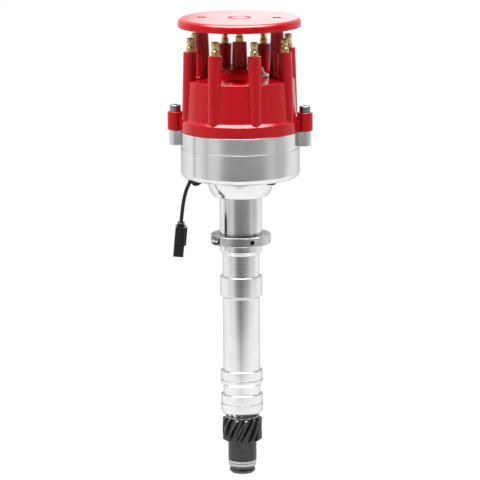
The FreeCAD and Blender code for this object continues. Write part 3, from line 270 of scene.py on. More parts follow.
def blank(name, **sockets):
    """A material with its shader, whose steady values are set on its own sockets."""
    material = bpy.data.materials.new(name)
    material.use_nodes = True
    tree = material.node_tree
    shader = tree.nodes["Principled BSDF"]
    for socket, value in sockets.items():
        shader.inputs[socket.replace("_", " ")].default_value = value
    return material, tree, shader


def node(tree, kind, **settings):
    """A shader node with its properties and input values set."""
    made = tree.nodes.new(kind)
    for key, value in settings.items():
        if key in made.inputs:
            made.inputs[key].default_value = value
        else:
            setattr(made, key, value)
    return made


def join(tree, source, target, out=0, into=0):
    """Join a node's output to another node's input."""
    tree.links.new(source.outputs[out], target.inputs[into])
    return target


def feed(tree, target, into, source):
    """Give an input a number, a node's first output, or the output named beside its node."""
    if isinstance(source, (int, float)):
        target.inputs[into].default_value = source
        return target
    giver, out = source if isinstance(source, tuple) else (source, 0)
    return join(tree, giver, target, out, into)


def reckon(tree, operation, *terms):
    """A sum on one or two numbers or nodes."""
    made = node(tree, "ShaderNodeMath", operation=operation)
    for index, term in enumerate(terms):
        feed(tree, made, index, term)
    return made


def mapped(tree, source, places, values=(0.0, 1.0), **settings):
    """A number that lies between two places, brought between two values."""
    made = node(tree, "ShaderNodeMapRange", **settings)
    for socket, value in zip(("From Min", "From Max", "To Min", "To Max"), (*places, *values)):
        made.inputs[socket].default_value = value
    return feed(tree, made, "Value", source)


def smooth_step(tree, source, places, values=(0.0, 1.0)):
    """A smooth step between two places."""
    return mapped(tree, source, places, values, interpolation_type="SMOOTHSTEP")


def either(tree, share, first, second):
    """The first shader where the share is 0, and the second where it is 1."""
    made = node(tree, "ShaderNodeMixShader")
    for index, source in enumerate((share, first, second)):
        feed(tree, made, index, source)
    return made


def noise(tree, scale, detail=3.0, roughness=0.5, stretch=(1, 1, 1)):
    """Noise in the object's own space, stretched along its axes."""
    where = node(tree, "ShaderNodeTexCoord")
    shape = node(tree, "ShaderNodeMapping")
    shape.inputs["Scale"].default_value = stretch
    join(tree, where, shape, "Object", "Vector")
    grain = node(tree, "ShaderNodeTexNoise", Scale=scale, Detail=detail, Roughness=roughness)
    return join(tree, shape, grain, 0, "Vector")


def ramp(tree, source, stops, out="Fac"):
    """A colour ramp through the stops, each a place and a colour or a grey value."""
    made = node(tree, "ShaderNodeValToRGB")
    bar = made.color_ramp
    while len(bar.elements) < len(stops):
        bar.elements.new(0.5)
    for element, (place, colour) in zip(bar.elements, stops):
        element.position = place
        if isinstance(colour, (int, float)):
            colour = (colour, colour, colour)
        element.color = (*colour, 1)
    return join(tree, source, made, out, "Fac")


def bumped(tree, shader, source, strength, depth):
    """Bump that follows a noise."""
    bump = node(tree, "ShaderNodeBump", Strength=strength, Distance=depth)
    join(tree, source, bump, 0, "Height")
    join(tree, bump, shader, 0, "Normal")


def outward(tree, parts):
    """How far a place lies from the upright axis."""
    flat = node(tree, "ShaderNodeCombineXYZ")
    for axis in "XY":
        feed(tree, flat, axis, (parts, axis))
    return join(tree, flat, node(tree, "ShaderNodeVectorMath", operation="LENGTH"))


def turning_marks(tree, pitch):
    """Rings left by the tool: noise that changes only along the axis and outward."""
    where = node(tree, "ShaderNodeTexCoord")
    parts = join(tree, where, node(tree, "ShaderNodeSeparateXYZ"), "Object", 0)
    pair = node(tree, "ShaderNodeCombineXYZ")
    feed(tree, pair, "X", (outward(tree, parts), "Value"))
    feed(tree, pair, "Z", (parts, "Z"))
    grain = node(tree, "ShaderNodeTexNoise", Scale=1 / pitch, Detail=2.0, Roughness=0.6)
    return join(tree, pair, grain, 0, "Vector")


def clouded(tree, shader, source, places, colour, shades):
    """Base colour that a noise darkens down to a share of itself."""
    dark = [value * shades for value in colour]
    tint = ramp(tree, source, [(places[0], dark), (places[1], colour)])
    join(tree, tint, shader, 0, "Base Color")


def uneven(tree, shader, source, roughness, low_share, high_share, places=(0.0, 1.0)):
    """Roughness that a noise takes between two shares of itself."""
    spread = mapped(tree, (source, "Fac"), places,
                    (roughness * low_share, roughness * high_share))
    join(tree, spread, shader, 0, "Roughness")


# Darkens turned metal where it is seen edge-on
EDGE_TINT = (0.62, 0.62, 0.63, 1.0)


def turned_metal(name, colour, roughness, anisotropy, pitch, depth, shades):
    """Metal from the lathe: fine rings, a sheen stretched along the axis, faint clouding."""
    material, tree, shader = blank(name, Metallic=1.0, Anisotropic=anisotropy,
                                   Anisotropic_Rotation=0.25, Specular_Tint=EDGE_TINT)
    rings = turning_marks(tree, pitch)
    clouded(tree, shader, noise(tree, 55.0, 4.0, 0.6), (0.35, 0.7), colour, shades)
    uneven(tree, shader, rings, roughness, 0.8, 1.25, (0.3, 0.7))
    around = node(tree, "ShaderNodeTangent", direction_type="RADIAL", axis="Z")
    join(tree, around, shader, 0, "Tangent")
    bumped(tree, shader, rings, 0.35, depth)
    return material


def worked_metal(name, colour, roughness, scale, stretch, depth, shades=0.8, metallic=1.0):
    """Metal with an all-over grain: drawn, ground, cast or blacked."""
    material, tree, shader = blank(name, Metallic=metallic)
    grain = noise(tree, scale, 5.0, 0.6, stretch)
    clouded(tree, shader, grain, (0.3, 0.72), colour, shades)
    uneven(tree, shader, grain, roughness, 0.75, 1.3)
    bumped(tree, shader, grain, 0.4, depth)
    return material


def moulded_plastic(name, colour, roughness, depth, scale=900.0, specular=0.5):
    """Moulded plastic: a fine orange-peel skin, faint flow marks and uneven gloss."""
    material, tree, shader = blank(name, Specular_IOR_Level=specular)
    flow = noise(tree, 34.0, 4.0, 0.55, (1, 1, 0.35))
    clouded(tree, shader, flow, (0.3, 0.7), colour, 0.86)
    uneven(tree, shader, flow, roughness, 0.7, 1.35)
    bumped(tree, shader, noise(tree, scale, 2.0), 0.25, depth)
    return material


# How each slot's finish is made, with its own colour or the name of one that a user sets
FINISHES = {
    "turned_aluminium": (turned_metal, "aluminium", 0.16, 0.72, 0.00035, 0.00001, 0.93),
    "collar_aluminium": (turned_metal, "collar", 0.2, 0.6, 0.0003, 0.00001, 0.85),
    "bearing_steel": (turned_metal, (0.66, 0.67, 0.69), 0.12, 0.3, 0.0003, 0.000004, 0.95),
    "bushing_bronze": (worked_metal, (0.55, 0.33, 0.13), 0.3, 900.0, (1, 1, 1), 0.00001),
    "moulded_red": (moulded_plastic, "plastic", 0.15, 0.000012, 900.0, 0.32),
    "terminal_brass": (turned_metal, "brass", 0.25, 0.4, 0.0003, 0.000006, 0.82),
    "carbon": (worked_metal, (0.03, 0.03, 0.03), 0.6, 1500.0, (1, 1, 1), 0.00001, 0.7, 0.0),
    "screw_steel": (worked_metal, "steel", 0.2, 700.0, (1, 1, 0.4), 0.000006),
    # Lighter copy of the screw steel for the clamp screw: partly a brighter steel, partly painted
    # light against the shade under the bowl
    "bright_screw_steel_with_painted_light": (worked_metal, "bright_steel", 0.36, 700.0, (1, 1, 0.4), 0.000006),
    "black_steel": (worked_metal, (0.03, 0.03, 0.032), 0.35, 800.0, (1, 1, 1), 0.000008),
    "shaft_steel": (turned_metal, (0.52, 0.52, 0.54), 0.2, 0.5, 0.0003, 0.000006, 0.9),
    "weight_steel": (worked_metal, (0.36, 0.35, 0.33), 0.35, 500.0, (1, 1, 1), 0.00001),
    "spring_steel": (worked_metal, (0.5, 0.5, 0.52), 0.25, 900.0, (1, 1, 1), 0.000005),
    "gear_iron": (worked_metal, "iron", 0.34, 620.0, (1, 1, 0.5), 0.00002, 0.55, 0.9),
    "end_steel": (turned_metal, (0.13, 0.13, 0.14), 0.16, 0.4, 0.0003, 0.000006, 0.8),
    "washer_steel": (turned_metal, (0.56, 0.56, 0.57), 0.18, 0.4, 0.0003, 0.000006, 0.9),
    "bushing_plastic": (moulded_plastic, (0.03, 0.03, 0.03), 0.5, 0.00001),
    "magnet": (worked_metal, (0.1, 0.1, 0.11), 0.4, 800.0, (1, 1, 1), 0.00001),
    "coil_plastic": (moulded_plastic, (0.012, 0.012, 0.014), 0.4, 0.00001),
    "black_rubber": (moulded_plastic, "rubber", 0.45, 0.00002, 1400.0),
    "lead_jacket": (moulded_plastic, "rubber", 0.38, 0.00002, 1200.0),
    "connector_plastic": (moulded_plastic, (0.01, 0.01, 0.011), 0.36, 0.00003, 1100.0),
}


def finish_of(slot_name):
    """The finish's material, made once and used by every piece of that slot."""
    name = slot_name + "_finish"
    if name not in bpy.data.materials:
        maker, colour, *values = FINISHES[slot_name]
        if isinstance(colour, str):
            colour = getattr(bpy.context.scene.distributor_look, colour)
        maker(name, colour, *values)
    return bpy.data.materials[name]


def dress(piece, slot_name, finish=None):
    """Give a piece its slot, and the slot's finish or another."""
    piece.data.materials.clear()
    piece.data.materials.append(finish_of(finish or slot_name))
    return piece


# Sizes and colours that a user would change


class DistributorLook(bpy.types.PropertyGroup):
    aluminium: bpy.props.FloatVectorProperty(
        name="Aluminium", description="Colour of the turned housing", subtype="COLOR",
        default=(0.86, 0.86, 0.87), min=0, max=1)
    collar: bpy.props.FloatVectorProperty(
        name="Collar", description="Colour of the slip collar", subtype="COLOR",
        default=(0.64, 0.64, 0.65), min=0, max=1)
    plastic: bpy.props.FloatVectorProperty(
        name="Plastic", description="Colour of the cap and the wire retainer", subtype="COLOR",
        default=(0.48, 0.003, 0.008), min=0, max=1)
    brass: bpy.props.FloatVectorProperty(
        name="Brass", description="Colour of the terminals", subtype="COLOR",
        default=(0.80, 0.60, 0.28), min=0, max=1)
    steel: bpy.props.FloatVectorProperty(
        name="Steel", description="Colour of the screws", subtype="COLOR",
        default=(0.36, 0.36, 0.37), min=0, max=1)
    # Clamp screw colour: a brighter steel than the cap screws', lifted further as painted light so
    # that the screw reads bright in the shade under the bowl
    bright_steel: bpy.props.FloatVectorProperty(
        name="Bright steel", description="Colour of the collar's clamp screw", subtype="COLOR",
        default=(0.88, 0.88, 0.88), min=0, max=1)
    iron: bpy.props.FloatVectorProperty(
        name="Iron", description="Colour of the drive gear", subtype="COLOR",
        default=(0.09, 0.09, 0.093), min=0, max=1)
    rubber: bpy.props.FloatVectorProperty(
        name="Rubber", description="Colour of the lead, grommet and boot", subtype="COLOR",
        default=(0.012, 0.012, 0.013), min=0, max=1)


class DistributorSizes(bpy.types.PropertyGroup):
    edge: bpy.props.FloatProperty(
        name="Broken edge", description="Width of the housing's broken edges",
        default=0.00035, min=0.00005, max=0.001, precision=5, unit="LENGTH")
    camera_distance: bpy.props.FloatProperty(
        name="Camera distance", description="Level distance from the shaft to the camera",
        default=3.3, min=1.0, max=10.0, unit="LENGTH")
    camera_height: bpy.props.FloatProperty(
        name="Camera height", description="Height of the camera above the collar's seat",
        default=0.6143, min=0.0, max=3.0, unit="LENGTH")
    camera_turn: bpy.props.FloatProperty(
        name="Camera turn", description="Turn of the camera about the shaft from the front",
        default=math.radians(6.0), subtype="ANGLE")


# Stage


LENS, SENSOR, FARTHEST = 329.6, 36.0, 30.0
AIM, CAMERA_ROLL = (-0.0007, 0.0, 0.0020), math.radians(-0.42)

# Each lamp's name, place, width in metres and power, and whether polished metal shows it
LAMPS = (
    ("key", (-1.4, -0.55, 1.95), 0.7, 75.0, False),
    ("fill", (1.4, -0.6, 1.8), 0.6, 50.0, False),
    ("top", (0.05, -0.3, 1.6), 0.6, 5.0, False),
    ("back", (-0.02, 0.6, 0.29), 0.18, 0.085, True),
)

# The floor that the camera sees
FLOOR_RADIUS, FLOOR_GAP = 14.0, 0.0002
FLOOR_SHADES = ((0.3, 0.43), (0.7, 0.46))
FLOOR_SHARE, FLOOR_WHITE = 0.9, 1.06

# The room that polished metal shows: its walls' brightness by the angle from the front
WALLS = (
    (-180, 0.8), (-150, 1.0), (-104, 0.92), (-98, 0.72), (-93, 0.2), (-87, 0.72), (-76, 0.66),
    (-62, 0.34), (-52, 0.56), (-38, 0.55), (-26, 0.16), (-14, 0.06), (40, 0.07), (50, 0.12),
    (62, 0.34), (72, 0.36), (82, 0.2), (98, 0.26), (112, 0.7), (130, 0.95), (150, 1.0), (180, 0.8),
)
NEAR_FLOOR, NEAR_WHITE = (0.22, 0.66), 1.08
WEDGE_TURN, WEDGE_SLOPE = math.radians(3.0), 0.34
FAR_FLOOR, FAR_WHITE = (1.14, 1.30), 0.43
CEILING, CEILING_POWER, ROOM_LIGHT = (0.76, 0.92), 26.0, 0.06


class DISTRIBUTOR_OT_studio(bpy.types.Operator):
    """Set up the camera, the pale floor, the soft lamps and the world"""
    bl_idname = "distributor.studio"
    bl_label = "Studio"

    def execute(self, context):
        scene = context.scene
        scene.view_settings.view_transform = "Standard"
        self.camera(scene, scene.distributor_sizes)
        self.floor(scene, solid_box[0][2] - FLOOR_GAP)
        for row in LAMPS:
            self.lamp(scene, *row)
        self.surround(scene)
        return {"FINISHED"}

    def camera(self, scene, sizes):
        lens = bpy.data.cameras.new("camera")
        lens.lens, lens.sensor_width, lens.clip_end = LENS, SENSOR, FARTHEST
        camera = bpy.data.objects.new("camera", lens)
        scene.collection.objects.link(camera)
        scene.camera = camera
        camera.location = (sizes.camera_distance * math.sin(sizes.camera_turn),
                           -sizes.camera_distance * math.cos(sizes.camera_turn),
                           sizes.camera_height)
        look = (Vector(AIM) - camera.location).to_track_quat("-Z", "Y")
        roll = Matrix.Rotation(CAMERA_ROLL, 3, "Z").to_quaternion()
        camera.rotation_mode = "QUATERNION"
        camera.rotation_quaternion = look @ roll

    def floor(self, scene, height):
        form = bmesh.new()
        bmesh.ops.create_circle(form, cap_ends=True, segments=96, radius=FLOOR_RADIUS)
        bmesh.ops.translate(form, vec=(0, 0, height), verts=form.verts)
        piece = bpy.data.objects.new("floor", mesh_from("floor", form))
        scene.collection.objects.link(piece)
        material, tree, shader = blank("pale_floor", Roughness=0.9)
        join(tree, ramp(tree, noise(tree, 3.0), FLOOR_SHADES), shader, 0, "Base Color")
        white = node(tree, "ShaderNodeEmission", Strength=FLOOR_WHITE)
        shown = node(tree, "ShaderNodeEmission", Strength=1.0)
        join(tree, self.shown_floor(tree), shown, 0, "Color")
        ray = node(tree, "ShaderNodeLightPath")
        share = reckon(tree, "MULTIPLY", (ray, "Is Camera Ray"), FLOOR_SHARE)
        seen = either(tree, share, shader, white)
        surface = either(tree, (ray, "Is Glossy Ray"), seen, shown)
        join(tree, surface, tree.nodes["Material Output"])
        piece.data.materials.append(material)

    def way_round(self, tree, space):
        """The parts of the place, and the angle from the front that it lies at."""
        where = node(tree, "ShaderNodeTexCoord")
        parts = join(tree, where, node(tree, "ShaderNodeSeparateXYZ"), space, 0)
        ahead = reckon(tree, "MULTIPLY", (parts, "Y"), -1.0)
        return parts, reckon(tree, "ARCTAN2", (parts, "X"), ahead)

    def walls(self, tree, angle):
        """Brightness of the room that polished metal shows, by the way round."""
        stops = [((degrees + 180) / 360, shade) for degrees, shade in WALLS]
        return ramp(tree, mapped(tree, angle, (-math.pi, math.pi)), stops, "Result")

    def shown_floor(self, tree):
        """The floor that polished metal shows: white near the shaft, then as the walls are."""
        parts, angle = self.way_round(tree, "Object")
        reach = (outward(tree, parts), "Value")
        aside = reckon(tree, "ABSOLUTE", reckon(tree, "SUBTRACT", angle, WEDGE_TURN))
        far = reckon(tree, "SUBTRACT", reach, reckon(tree, "MULTIPLY", aside, WEDGE_SLOPE))
        lifted = smooth_step(tree, reach, FAR_FLOOR, (0.0, FAR_WHITE))
        walls = self.mixed(tree, lifted, self.walls(tree, angle), 1.0)
        return self.mixed(tree, smooth_step(tree, far, NEAR_FLOOR, (1.0, 0.0)), walls, NEAR_WHITE)

    def mixed(self, tree, share, colour, grey):
        """The colour with a share of grey over it."""
        blend = node(tree, "ShaderNodeMixRGB")
        join(tree, share, blend, 0, "Fac")
        join(tree, colour, blend, 0, "Color1")
        blend.inputs["Color2"].default_value = (grey, grey, grey, 1)
        return blend

    def lamp(self, scene, name, spot, span, power, mirrored):
        light = bpy.data.lights.new(name, "AREA")
        light.shape, light.size, light.energy = "DISK", span, power
        lamp = bpy.data.objects.new(name, light)
        scene.collection.objects.link(lamp)
        lamp.location = spot
        lamp.rotation_mode = "QUATERNION"
        lamp.rotation_quaternion = (-lamp.location).to_track_quat("-Z", "Y")
        lamp.visible_glossy = mirrored

    def surround(self, scene):
        """A white world, with darker walls that only the polished metal shows."""
        world = bpy.data.worlds.new("surround")
        scene.world = world
        world.use_nodes = True
        tree = world.node_tree
        tree.nodes.clear()
        parts, angle = self.way_round(tree, "Generated")
        room = node(tree, "ShaderNodeBackground")
        overhead = smooth_step(tree, (parts, "Z"), CEILING)
        join(tree, self.mixed(tree, overhead, self.walls(tree, angle), 1.0), room, 0, "Color")
        power = smooth_step(tree, (parts, "Z"), CEILING, (1.0, CEILING_POWER))
        join(tree, power, room, "Result", "Strength")
        white = node(tree, "ShaderNodeBackground", Strength=1.0, Color=(1, 1, 1, 1))
        even = node(tree, "ShaderNodeBackground", Strength=ROOM_LIGHT, Color=(1, 1, 1, 1))
        ray = node(tree, "ShaderNodeLightPath")
        clear = reckon(tree, "MAXIMUM", (ray, "Is Camera Ray"), (ray, "Is Transmission Ray"))
        surface = either(tree, clear, either(tree, (ray, "Is Glossy Ray"), even, room), white)
        join(tree, surface, node(tree, "ShaderNodeOutputWorld"))


# Lead


LEAD_ROUTE = ((-36.9, -15.9, 49.2), (-39.3, -16.5, 44.6), (-41.5, -16.9, 36.6),
              (-42.9, -17.0, 27.5), (-43.8, -16.8, 18.4))
LEAD_RADIUS = 1.45
CONNECTOR = (
    ("connector_boot", "black_rubber", 0.5),
    ("connector_body", "connector_plastic", 0.35),
)


class DISTRIBUTOR_OT_lead(bpy.types.Operator):
    """Lay the pickup's lead from its grommet, and fit the connector's boot and body"""
    bl_idname = "distributor.lead"
    bl_label = "Lead and connector"

    def execute(self, context):
        curve = bpy.data.curves.new("pickup_lead", "CURVE")
        curve.dimensions = "3D"
        curve.bevel_depth, curve.bevel_resolution, curve.resolution_u = 1.0, 6, 16
        curve.use_fill_caps = True
        line = curve.splines.new("NURBS")
        line.points.add(len(LEAD_ROUTE) - 1)
        for point, spot in zip(line.points, LEAD_ROUTE):
            point.co, point.radius = (*(Vector(spot) * MM), 1), LEAD_RADIUS * MM
        line.use_endpoint_u, line.order_u = True, 3
        piece = new_object("pickup_lead", curve, "housing")
        dress(piece, "lead_jacket")
        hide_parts("lead")
        fittings = [finished(name + "_worked", cleaned(name, edge), "housing", slot_name, name)
                    for name, slot_name, edge in CONNECTOR]
        return {"FINISHED"}


# Housing


FOOT, RIM = -134.6, 87.1
BARREL, WAIST, LUG_REACH = 16.2, 14.2, 49.5


def groove(radius, low_z, high_z, depth):
    """The corners of a square groove on the way up an outside wall."""
    return [(radius, low_z, 0.06), (radius - depth, low_z, 0.1), (radius - depth, high_z, 0.1),
            (radius, high_z, 0.15)]


def housing_section():
    """Half section of the turned housing, up the outside and down the inside."""
    neck = arc((2.0, 51.71), 24.0, -34.2, -1.0, 10)
    return [
        (8.39, FOOT, 0.3), (12.6, FOOT, 0.5), (BARREL, -130.6, 0.7),
        *groove(BARREL, -124.8, -123.6, 0.8), (BARREL, -117.5, 0.25), (WAIST, -117.5, 0.3),
        (WAIST, -110.4, 0.6), (BARREL, -108.5, 0.4),
        *groove(BARREL, -106.2, -105.0, 0.8), (BARREL, -98.9, 0.25), (WAIST, -98.9, 0.3),
        (WAIST, -41.7, 0.6), (BARREL, -40.3, 0.4), (BARREL, -25.5, 0.35), (WAIST, -25.5, 0.3),
        (WAIST, -7.9, 0.6), (BARREL, -5.7, 0.4), (BARREL, 36.6, 0.3),
        (20.3, 36.6, 0.0), (21.3, 37.05, 0.3), *[(x, z, 0.0) for x, z in neck],
        (26.0, 51.3, 0.2), *[(x, z, 0.0) for x, z in arc((41.0, 55.7), 4.4, -90, 0, 10)],
        *groove(45.4, 74.3, 75.2, 0.45), (45.4, RIM, 0.4), (41.0, RIM, 0.3),
        (41.0, 58.0, 0.0), (40.4, 56.6, 0.0), (39.0, 56.0, 0.0), (14.29, 56.0, 0.3),
        (14.29, 45.06, 0.2), (9.5, 45.06, 0.2), (9.5, -104.6, 0.2), (8.39, -104.6, 0.2),
    ]


class DISTRIBUTOR_OT_housing(bpy.types.Operator):
    """Turn the housing, with its lands, grooves and lugs"""
    bl_idname = "distributor.housing"
    bl_label = "Housing"

    def execute(self, context):
        edge = context.scene.distributor_sizes.edge / MM
        shells = [turned(softened(housing_section(), edge))]
        for _, side in SIDES:
            lug = blocked(boss_outline(43.0, LUG_REACH, 4.9, 4.89), 75.5, RIM)
            shells.append(set_at(broken_edges(lug, 0.5), side))
        finished("housing_turned", merged(shells), "housing", "turned_aluminium", "housing")
        return {"FINISHED"}


# Cap and wire retainer


DISC_UNDER, DISC_TOP, POST_REACH = 166.8, 173.3, 28.6
EAR_TOP = RIM + 14.1
TOWER_REACH, TOWER_LENGTH, TOWER_LEAN, TOWER_FOOT = 41.0, 51.743, 2.326, 97.1
TOWER_TURNS = [22.5 + 45 * number for number in range(8)]


class DISTRIBUTOR_OT_cap(bpy.types.Operator):
    """Mould the cap: drum, crown, eight towers, posts, ears and the button's well"""
    bl_idname = "distributor.cap"
    bl_label = "Cap"

    def execute(self, context):
        body = [
            (40.9, 84.6, 0.3), (40.9, RIM, 0.0), (45.4, RIM, 0.3), (45.4, 95.3, 0.5),
            (43.0, 97.8, 0.5), *[(x, z, 0.0) for x, z in arc((40.1, 126.0), 1.4, 0, 90, 6)],
            (20.9, 129.7, 1.6), (18.5, 131.8, 1.6), (17.5, 135.8, 0.9), (6.1, 135.8, 0.7),
            (5.4, 155.0, 0.5), (2.1, 155.0, 0.2), (2.1, 125.4, 0.0), (2.66, 125.4, 0.0),
            (2.66, 107.4, 0.3), (5.26, 107.4, 0.6), (5.26, 125.4, 0.8), (35.4, 125.4, 0.0),
            (36.8, 124.8, 0.0), (37.4, 123.4, 0.0), (38.2, 84.6, 0.3),
        ]
        shells = [turned(softened(body, 0.3))]
        tower = [(0, -4.5, 0.0), (4.6, 0, 1.6), (5.2, TOWER_LENGTH, 0.6), (2.1, TOWER_LENGTH, 0.2),
                 (2.1, TOWER_LENGTH - 4, 0.0), (0, TOWER_LENGTH - 4, 0.0)]
        inside = [(0, 80.0), (39.8, 80.0), (39.2, 124.8), (38.6, 126.6), (0, 126.6)]
        for turn_by in TOWER_TURNS:
            form = set_at(turned(softened(tower, 0.3), SMALL_STEPS), turn_by, TOWER_REACH, 0,
                          TOWER_FOOT, TOWER_LEAN)
            shells.append(cut_out(form, [turned(inside)]))
        post = [(0, 127.6, 0.0), (7.4, 127.9, 0.0), (6.2, 129.6, 2.0), (4.7, DISC_UNDER, 0.3),
                (0, DISC_UNDER, 0.0)]
        for _, side in SIDES:
            shells.append(set_at(turned(softened(post, 0.3), SMALL_STEPS), side, POST_REACH))
            ear = blocked(arc((0, 0), 6.0, 0, 351, 39), RIM, EAR_TOP)
            shells.append(set_at(broken_edges(ear, 0.7, segments=3), side, LUG_REACH))
            web = blocked([(39.0, -4.8), (LUG_REACH, -4.8), (LUG_REACH, 4.8), (39.0, 4.8)],
                          RIM, RIM + 8.4)
            shells.append(set_at(broken_edges(web, 0.8, segments=3), side))
        finished("cap_moulding", merged(shells), "housing", "moulded_red", "distributor_cap")
        return {"FINISHED"}


class DISTRIBUTOR_OT_retainer(bpy.types.Operator):
    """Mould the round wire retainer, with its rolled rim, ring groove and screw recesses"""
    bl_idname = "distributor.retainer"
    bl_label = "Wire retainer"

    def execute(self, context):
        disc = [
            (0, 170.3, 0.0), (44.6, 170.3, 0.6), (44.6, DISC_UNDER, 0.3), (47.0, DISC_UNDER, 0.5),
            (47.0, 169.5, 0.8), (46.6, 171.1, 0.7), (45.7, 172.4, 0.7), (44.3, 173.1, 0.7),
            (42.8, DISC_TOP, 0.7), (8.6, DISC_TOP, 0.25), (8.6, DISC_TOP - 0.6, 0.15),
            (6.4, DISC_TOP - 0.6, 0.15), (6.4, DISC_TOP, 0.25), (0, DISC_TOP, 0.0),
        ]
        well = [(0, DISC_TOP - 2.2), (3.8, DISC_TOP - 2.2), (3.8, DISC_TOP + 1), (0, DISC_TOP + 1)]
        hole = [(0, DISC_UNDER - 1), (2.1, DISC_UNDER - 1), (2.1, DISC_TOP), (0, DISC_TOP)]
        pad = [(2.1, DISC_UNDER, 0.2), (7.1, DISC_UNDER, 0.4), (7.1, 170.6, 0.0),
               (2.1, 170.6, 0.0)]
        screw = [(0, 155.8), (1.9, 155.8), (1.9, 171.1), (3.3, 171.1, 0.2), (2.8, 172.7, 0.5),
                 (0.95, 172.7, 0.1), (0.95, 171.9), (0, 171.9)]
        holes = [self.on_posts(section, side) for _, side in SIDES for section in (well, hole)]
        whole = cut_out(turned(softened(disc, 0.3)), holes)
        pads = [self.on_posts(softened(pad, 0.2), side) for _, side in SIDES]
        finished("retainer_disc", merged([whole, *pads]), "housing", "moulded_red",
                 "wire_retainer", 30.0)
        for name, side in SIDES:
            form = self.on_posts(softened(screw, 0.1), side)
            finished("retainer_screw_" + name + "_head", form, "housing", "screw_steel",
                     "retainer_screw_" + name)
        return {"FINISHED"}

    def on_posts(self, section, side):
        """A small turned form over the post of that side."""
        return set_at(turned(section, SMALL_STEPS), side, POST_REACH)


class DISTRIBUTOR_OT_terminals(bpy.types.Operator):
    """Turn the nine brass terminals with their waists and top holes"""
    bl_idname = "distributor.terminals"
    bl_label = "Terminals"

    def execute(self, context):
        for number, turn_by in enumerate(TOWER_TURNS, start=1):
            rod = [(0, 0.6, 0.0), (2.1, 0.6, 0.1), *self.spool(TOWER_LENGTH)]
            form = set_at(turned(softened(rod, 0.2), SMALL_STEPS), turn_by, TOWER_REACH, 0,
                          TOWER_FOOT, TOWER_LEAN)
            stub = laid_along_x(turned(softened(
                [(0, 37.1), (2.2, 37.1, 0.4), (2.2, 41.0), (0, 41.0)], 0.1), SMALL_STEPS))
            stub = set_at(stub, turn_by, 0, 0, 99.9)
            finished(f"plug_terminal_{number}_turned", merged([form, stub]), "housing",
                     "terminal_brass", f"plug_terminal_{number}")
        rod = [(0, 125.4, 0.0), (2.1, 125.4, 0.1), *self.spool(155.0)]
        finished("coil_terminal_turned", turned(softened(rod, 0.2), SMALL_STEPS), "housing",
                 "terminal_brass", "coil_terminal")
        return {"FINISHED"}

    def spool(self, seat):
        """The half section of a terminal above its seat."""
        return [(2.1, seat, 0.0), (3.0, seat, 0.15), (3.0, seat + 3.4, 0.35),
                (2.35, seat + 4.05, 0.5), (2.35, seat + 6.45, 0.5), (2.9, seat + 7.1, 0.35),
                (2.9, seat + 10.05, 0.35), (2.35, seat + 10.7, 0.2), (1.1, seat + 10.7, 0.15),
                (1.1, seat + 9.2, 0.0), (0, seat + 9.2, 0.0)]


class DISTRIBUTOR_OT_cap_screws(bpy.types.Operator):
    """Turn the two socket screws that hold the cap down"""
    bl_idname = "distributor.cap_screws"
    bl_label = "Cap screws"

    def execute(self, context):
        section = [(0, EAR_TOP - 22.0, 0.0), (1.9, EAR_TOP - 22.0, 0.2),
                   (2.4, EAR_TOP - 21.5, 0.2), (2.4, EAR_TOP, 0.0), (4.2, EAR_TOP, 0.25),
                   (4.2, EAR_TOP + 5.0, 0.55), (0, EAR_TOP + 5.0, 0.0)]
        for name, side in SIDES:
            socket = blocked(arc((0, 0), 2.2, 0, 300, 5), EAR_TOP + 2.2, EAR_TOP + 6.0)
            form = cut_out(turned(softened(section, 0.2), SMALL_STEPS), [socket])
            finished("cap_screw_" + name + "_turned", set_at(form, side, LUG_REACH), "housing",
                     "screw_steel", "cap_screw_" + name, 30.0)
        return {"FINISHED"}


# Shaft's lower end


SHAFT, END_SEAT = 6.35, -173.8
WASHERS = (
    ("thrust_washer", 12.6, -136.1, -134.9),
    ("upper_end_washer", 10.8, -171.4, -169.3),
    ("lower_end_washer", 10.6, END_SEAT, -171.4),
)


class DISTRIBUTOR_OT_washers(bpy.types.Operator):
    """Turn the thrust washer, the two end washers and the slotted drive end"""
    bl_idname = "distributor.washers"
    bl_label = "Washers and drive end"

    def execute(self, context):
        for name, radius, low_z, high_z in WASHERS:
            ring = [(SHAFT, low_z, 0.1), (radius, low_z, 0.5), (radius, high_z, 0.5),
                    (SHAFT, high_z, 0.1)]
            finished(name + "_turned", turned(softened(ring, 0.1)), "shaft", "washer_steel", name)
        section = [
            (0, END_SEAT - 5.9, 0.0), (8.1, END_SEAT - 5.9, 0.4), (10.1, END_SEAT - 3.9, 0.5),
            (10.1, END_SEAT - 3.4, 0.12), (9.4, END_SEAT - 2.0, 0.1), (9.4, END_SEAT, 0.1),
            (SHAFT, END_SEAT, 0.1), (SHAFT, END_SEAT - 2.3, 0.0), (0, END_SEAT - 2.3, 0.0),
        ]
        slot = blocked([(-20, -2.4), (20, -2.4), (20, 2.4), (-20, 2.4)],
                       END_SEAT - 7, END_SEAT - 3.3)
        form = cut_out(turned(softened(section, 0.3)), [slot])
        finished("drive_end_turned", form, "shaft", "end_steel", "drive_end", 30.0)
        return {"FINISHED"}


# Clamp screw


CLAMP_REACH, CLAMP_TURN, CLAMP_SLOT_TURN = 19.5, -174, -40


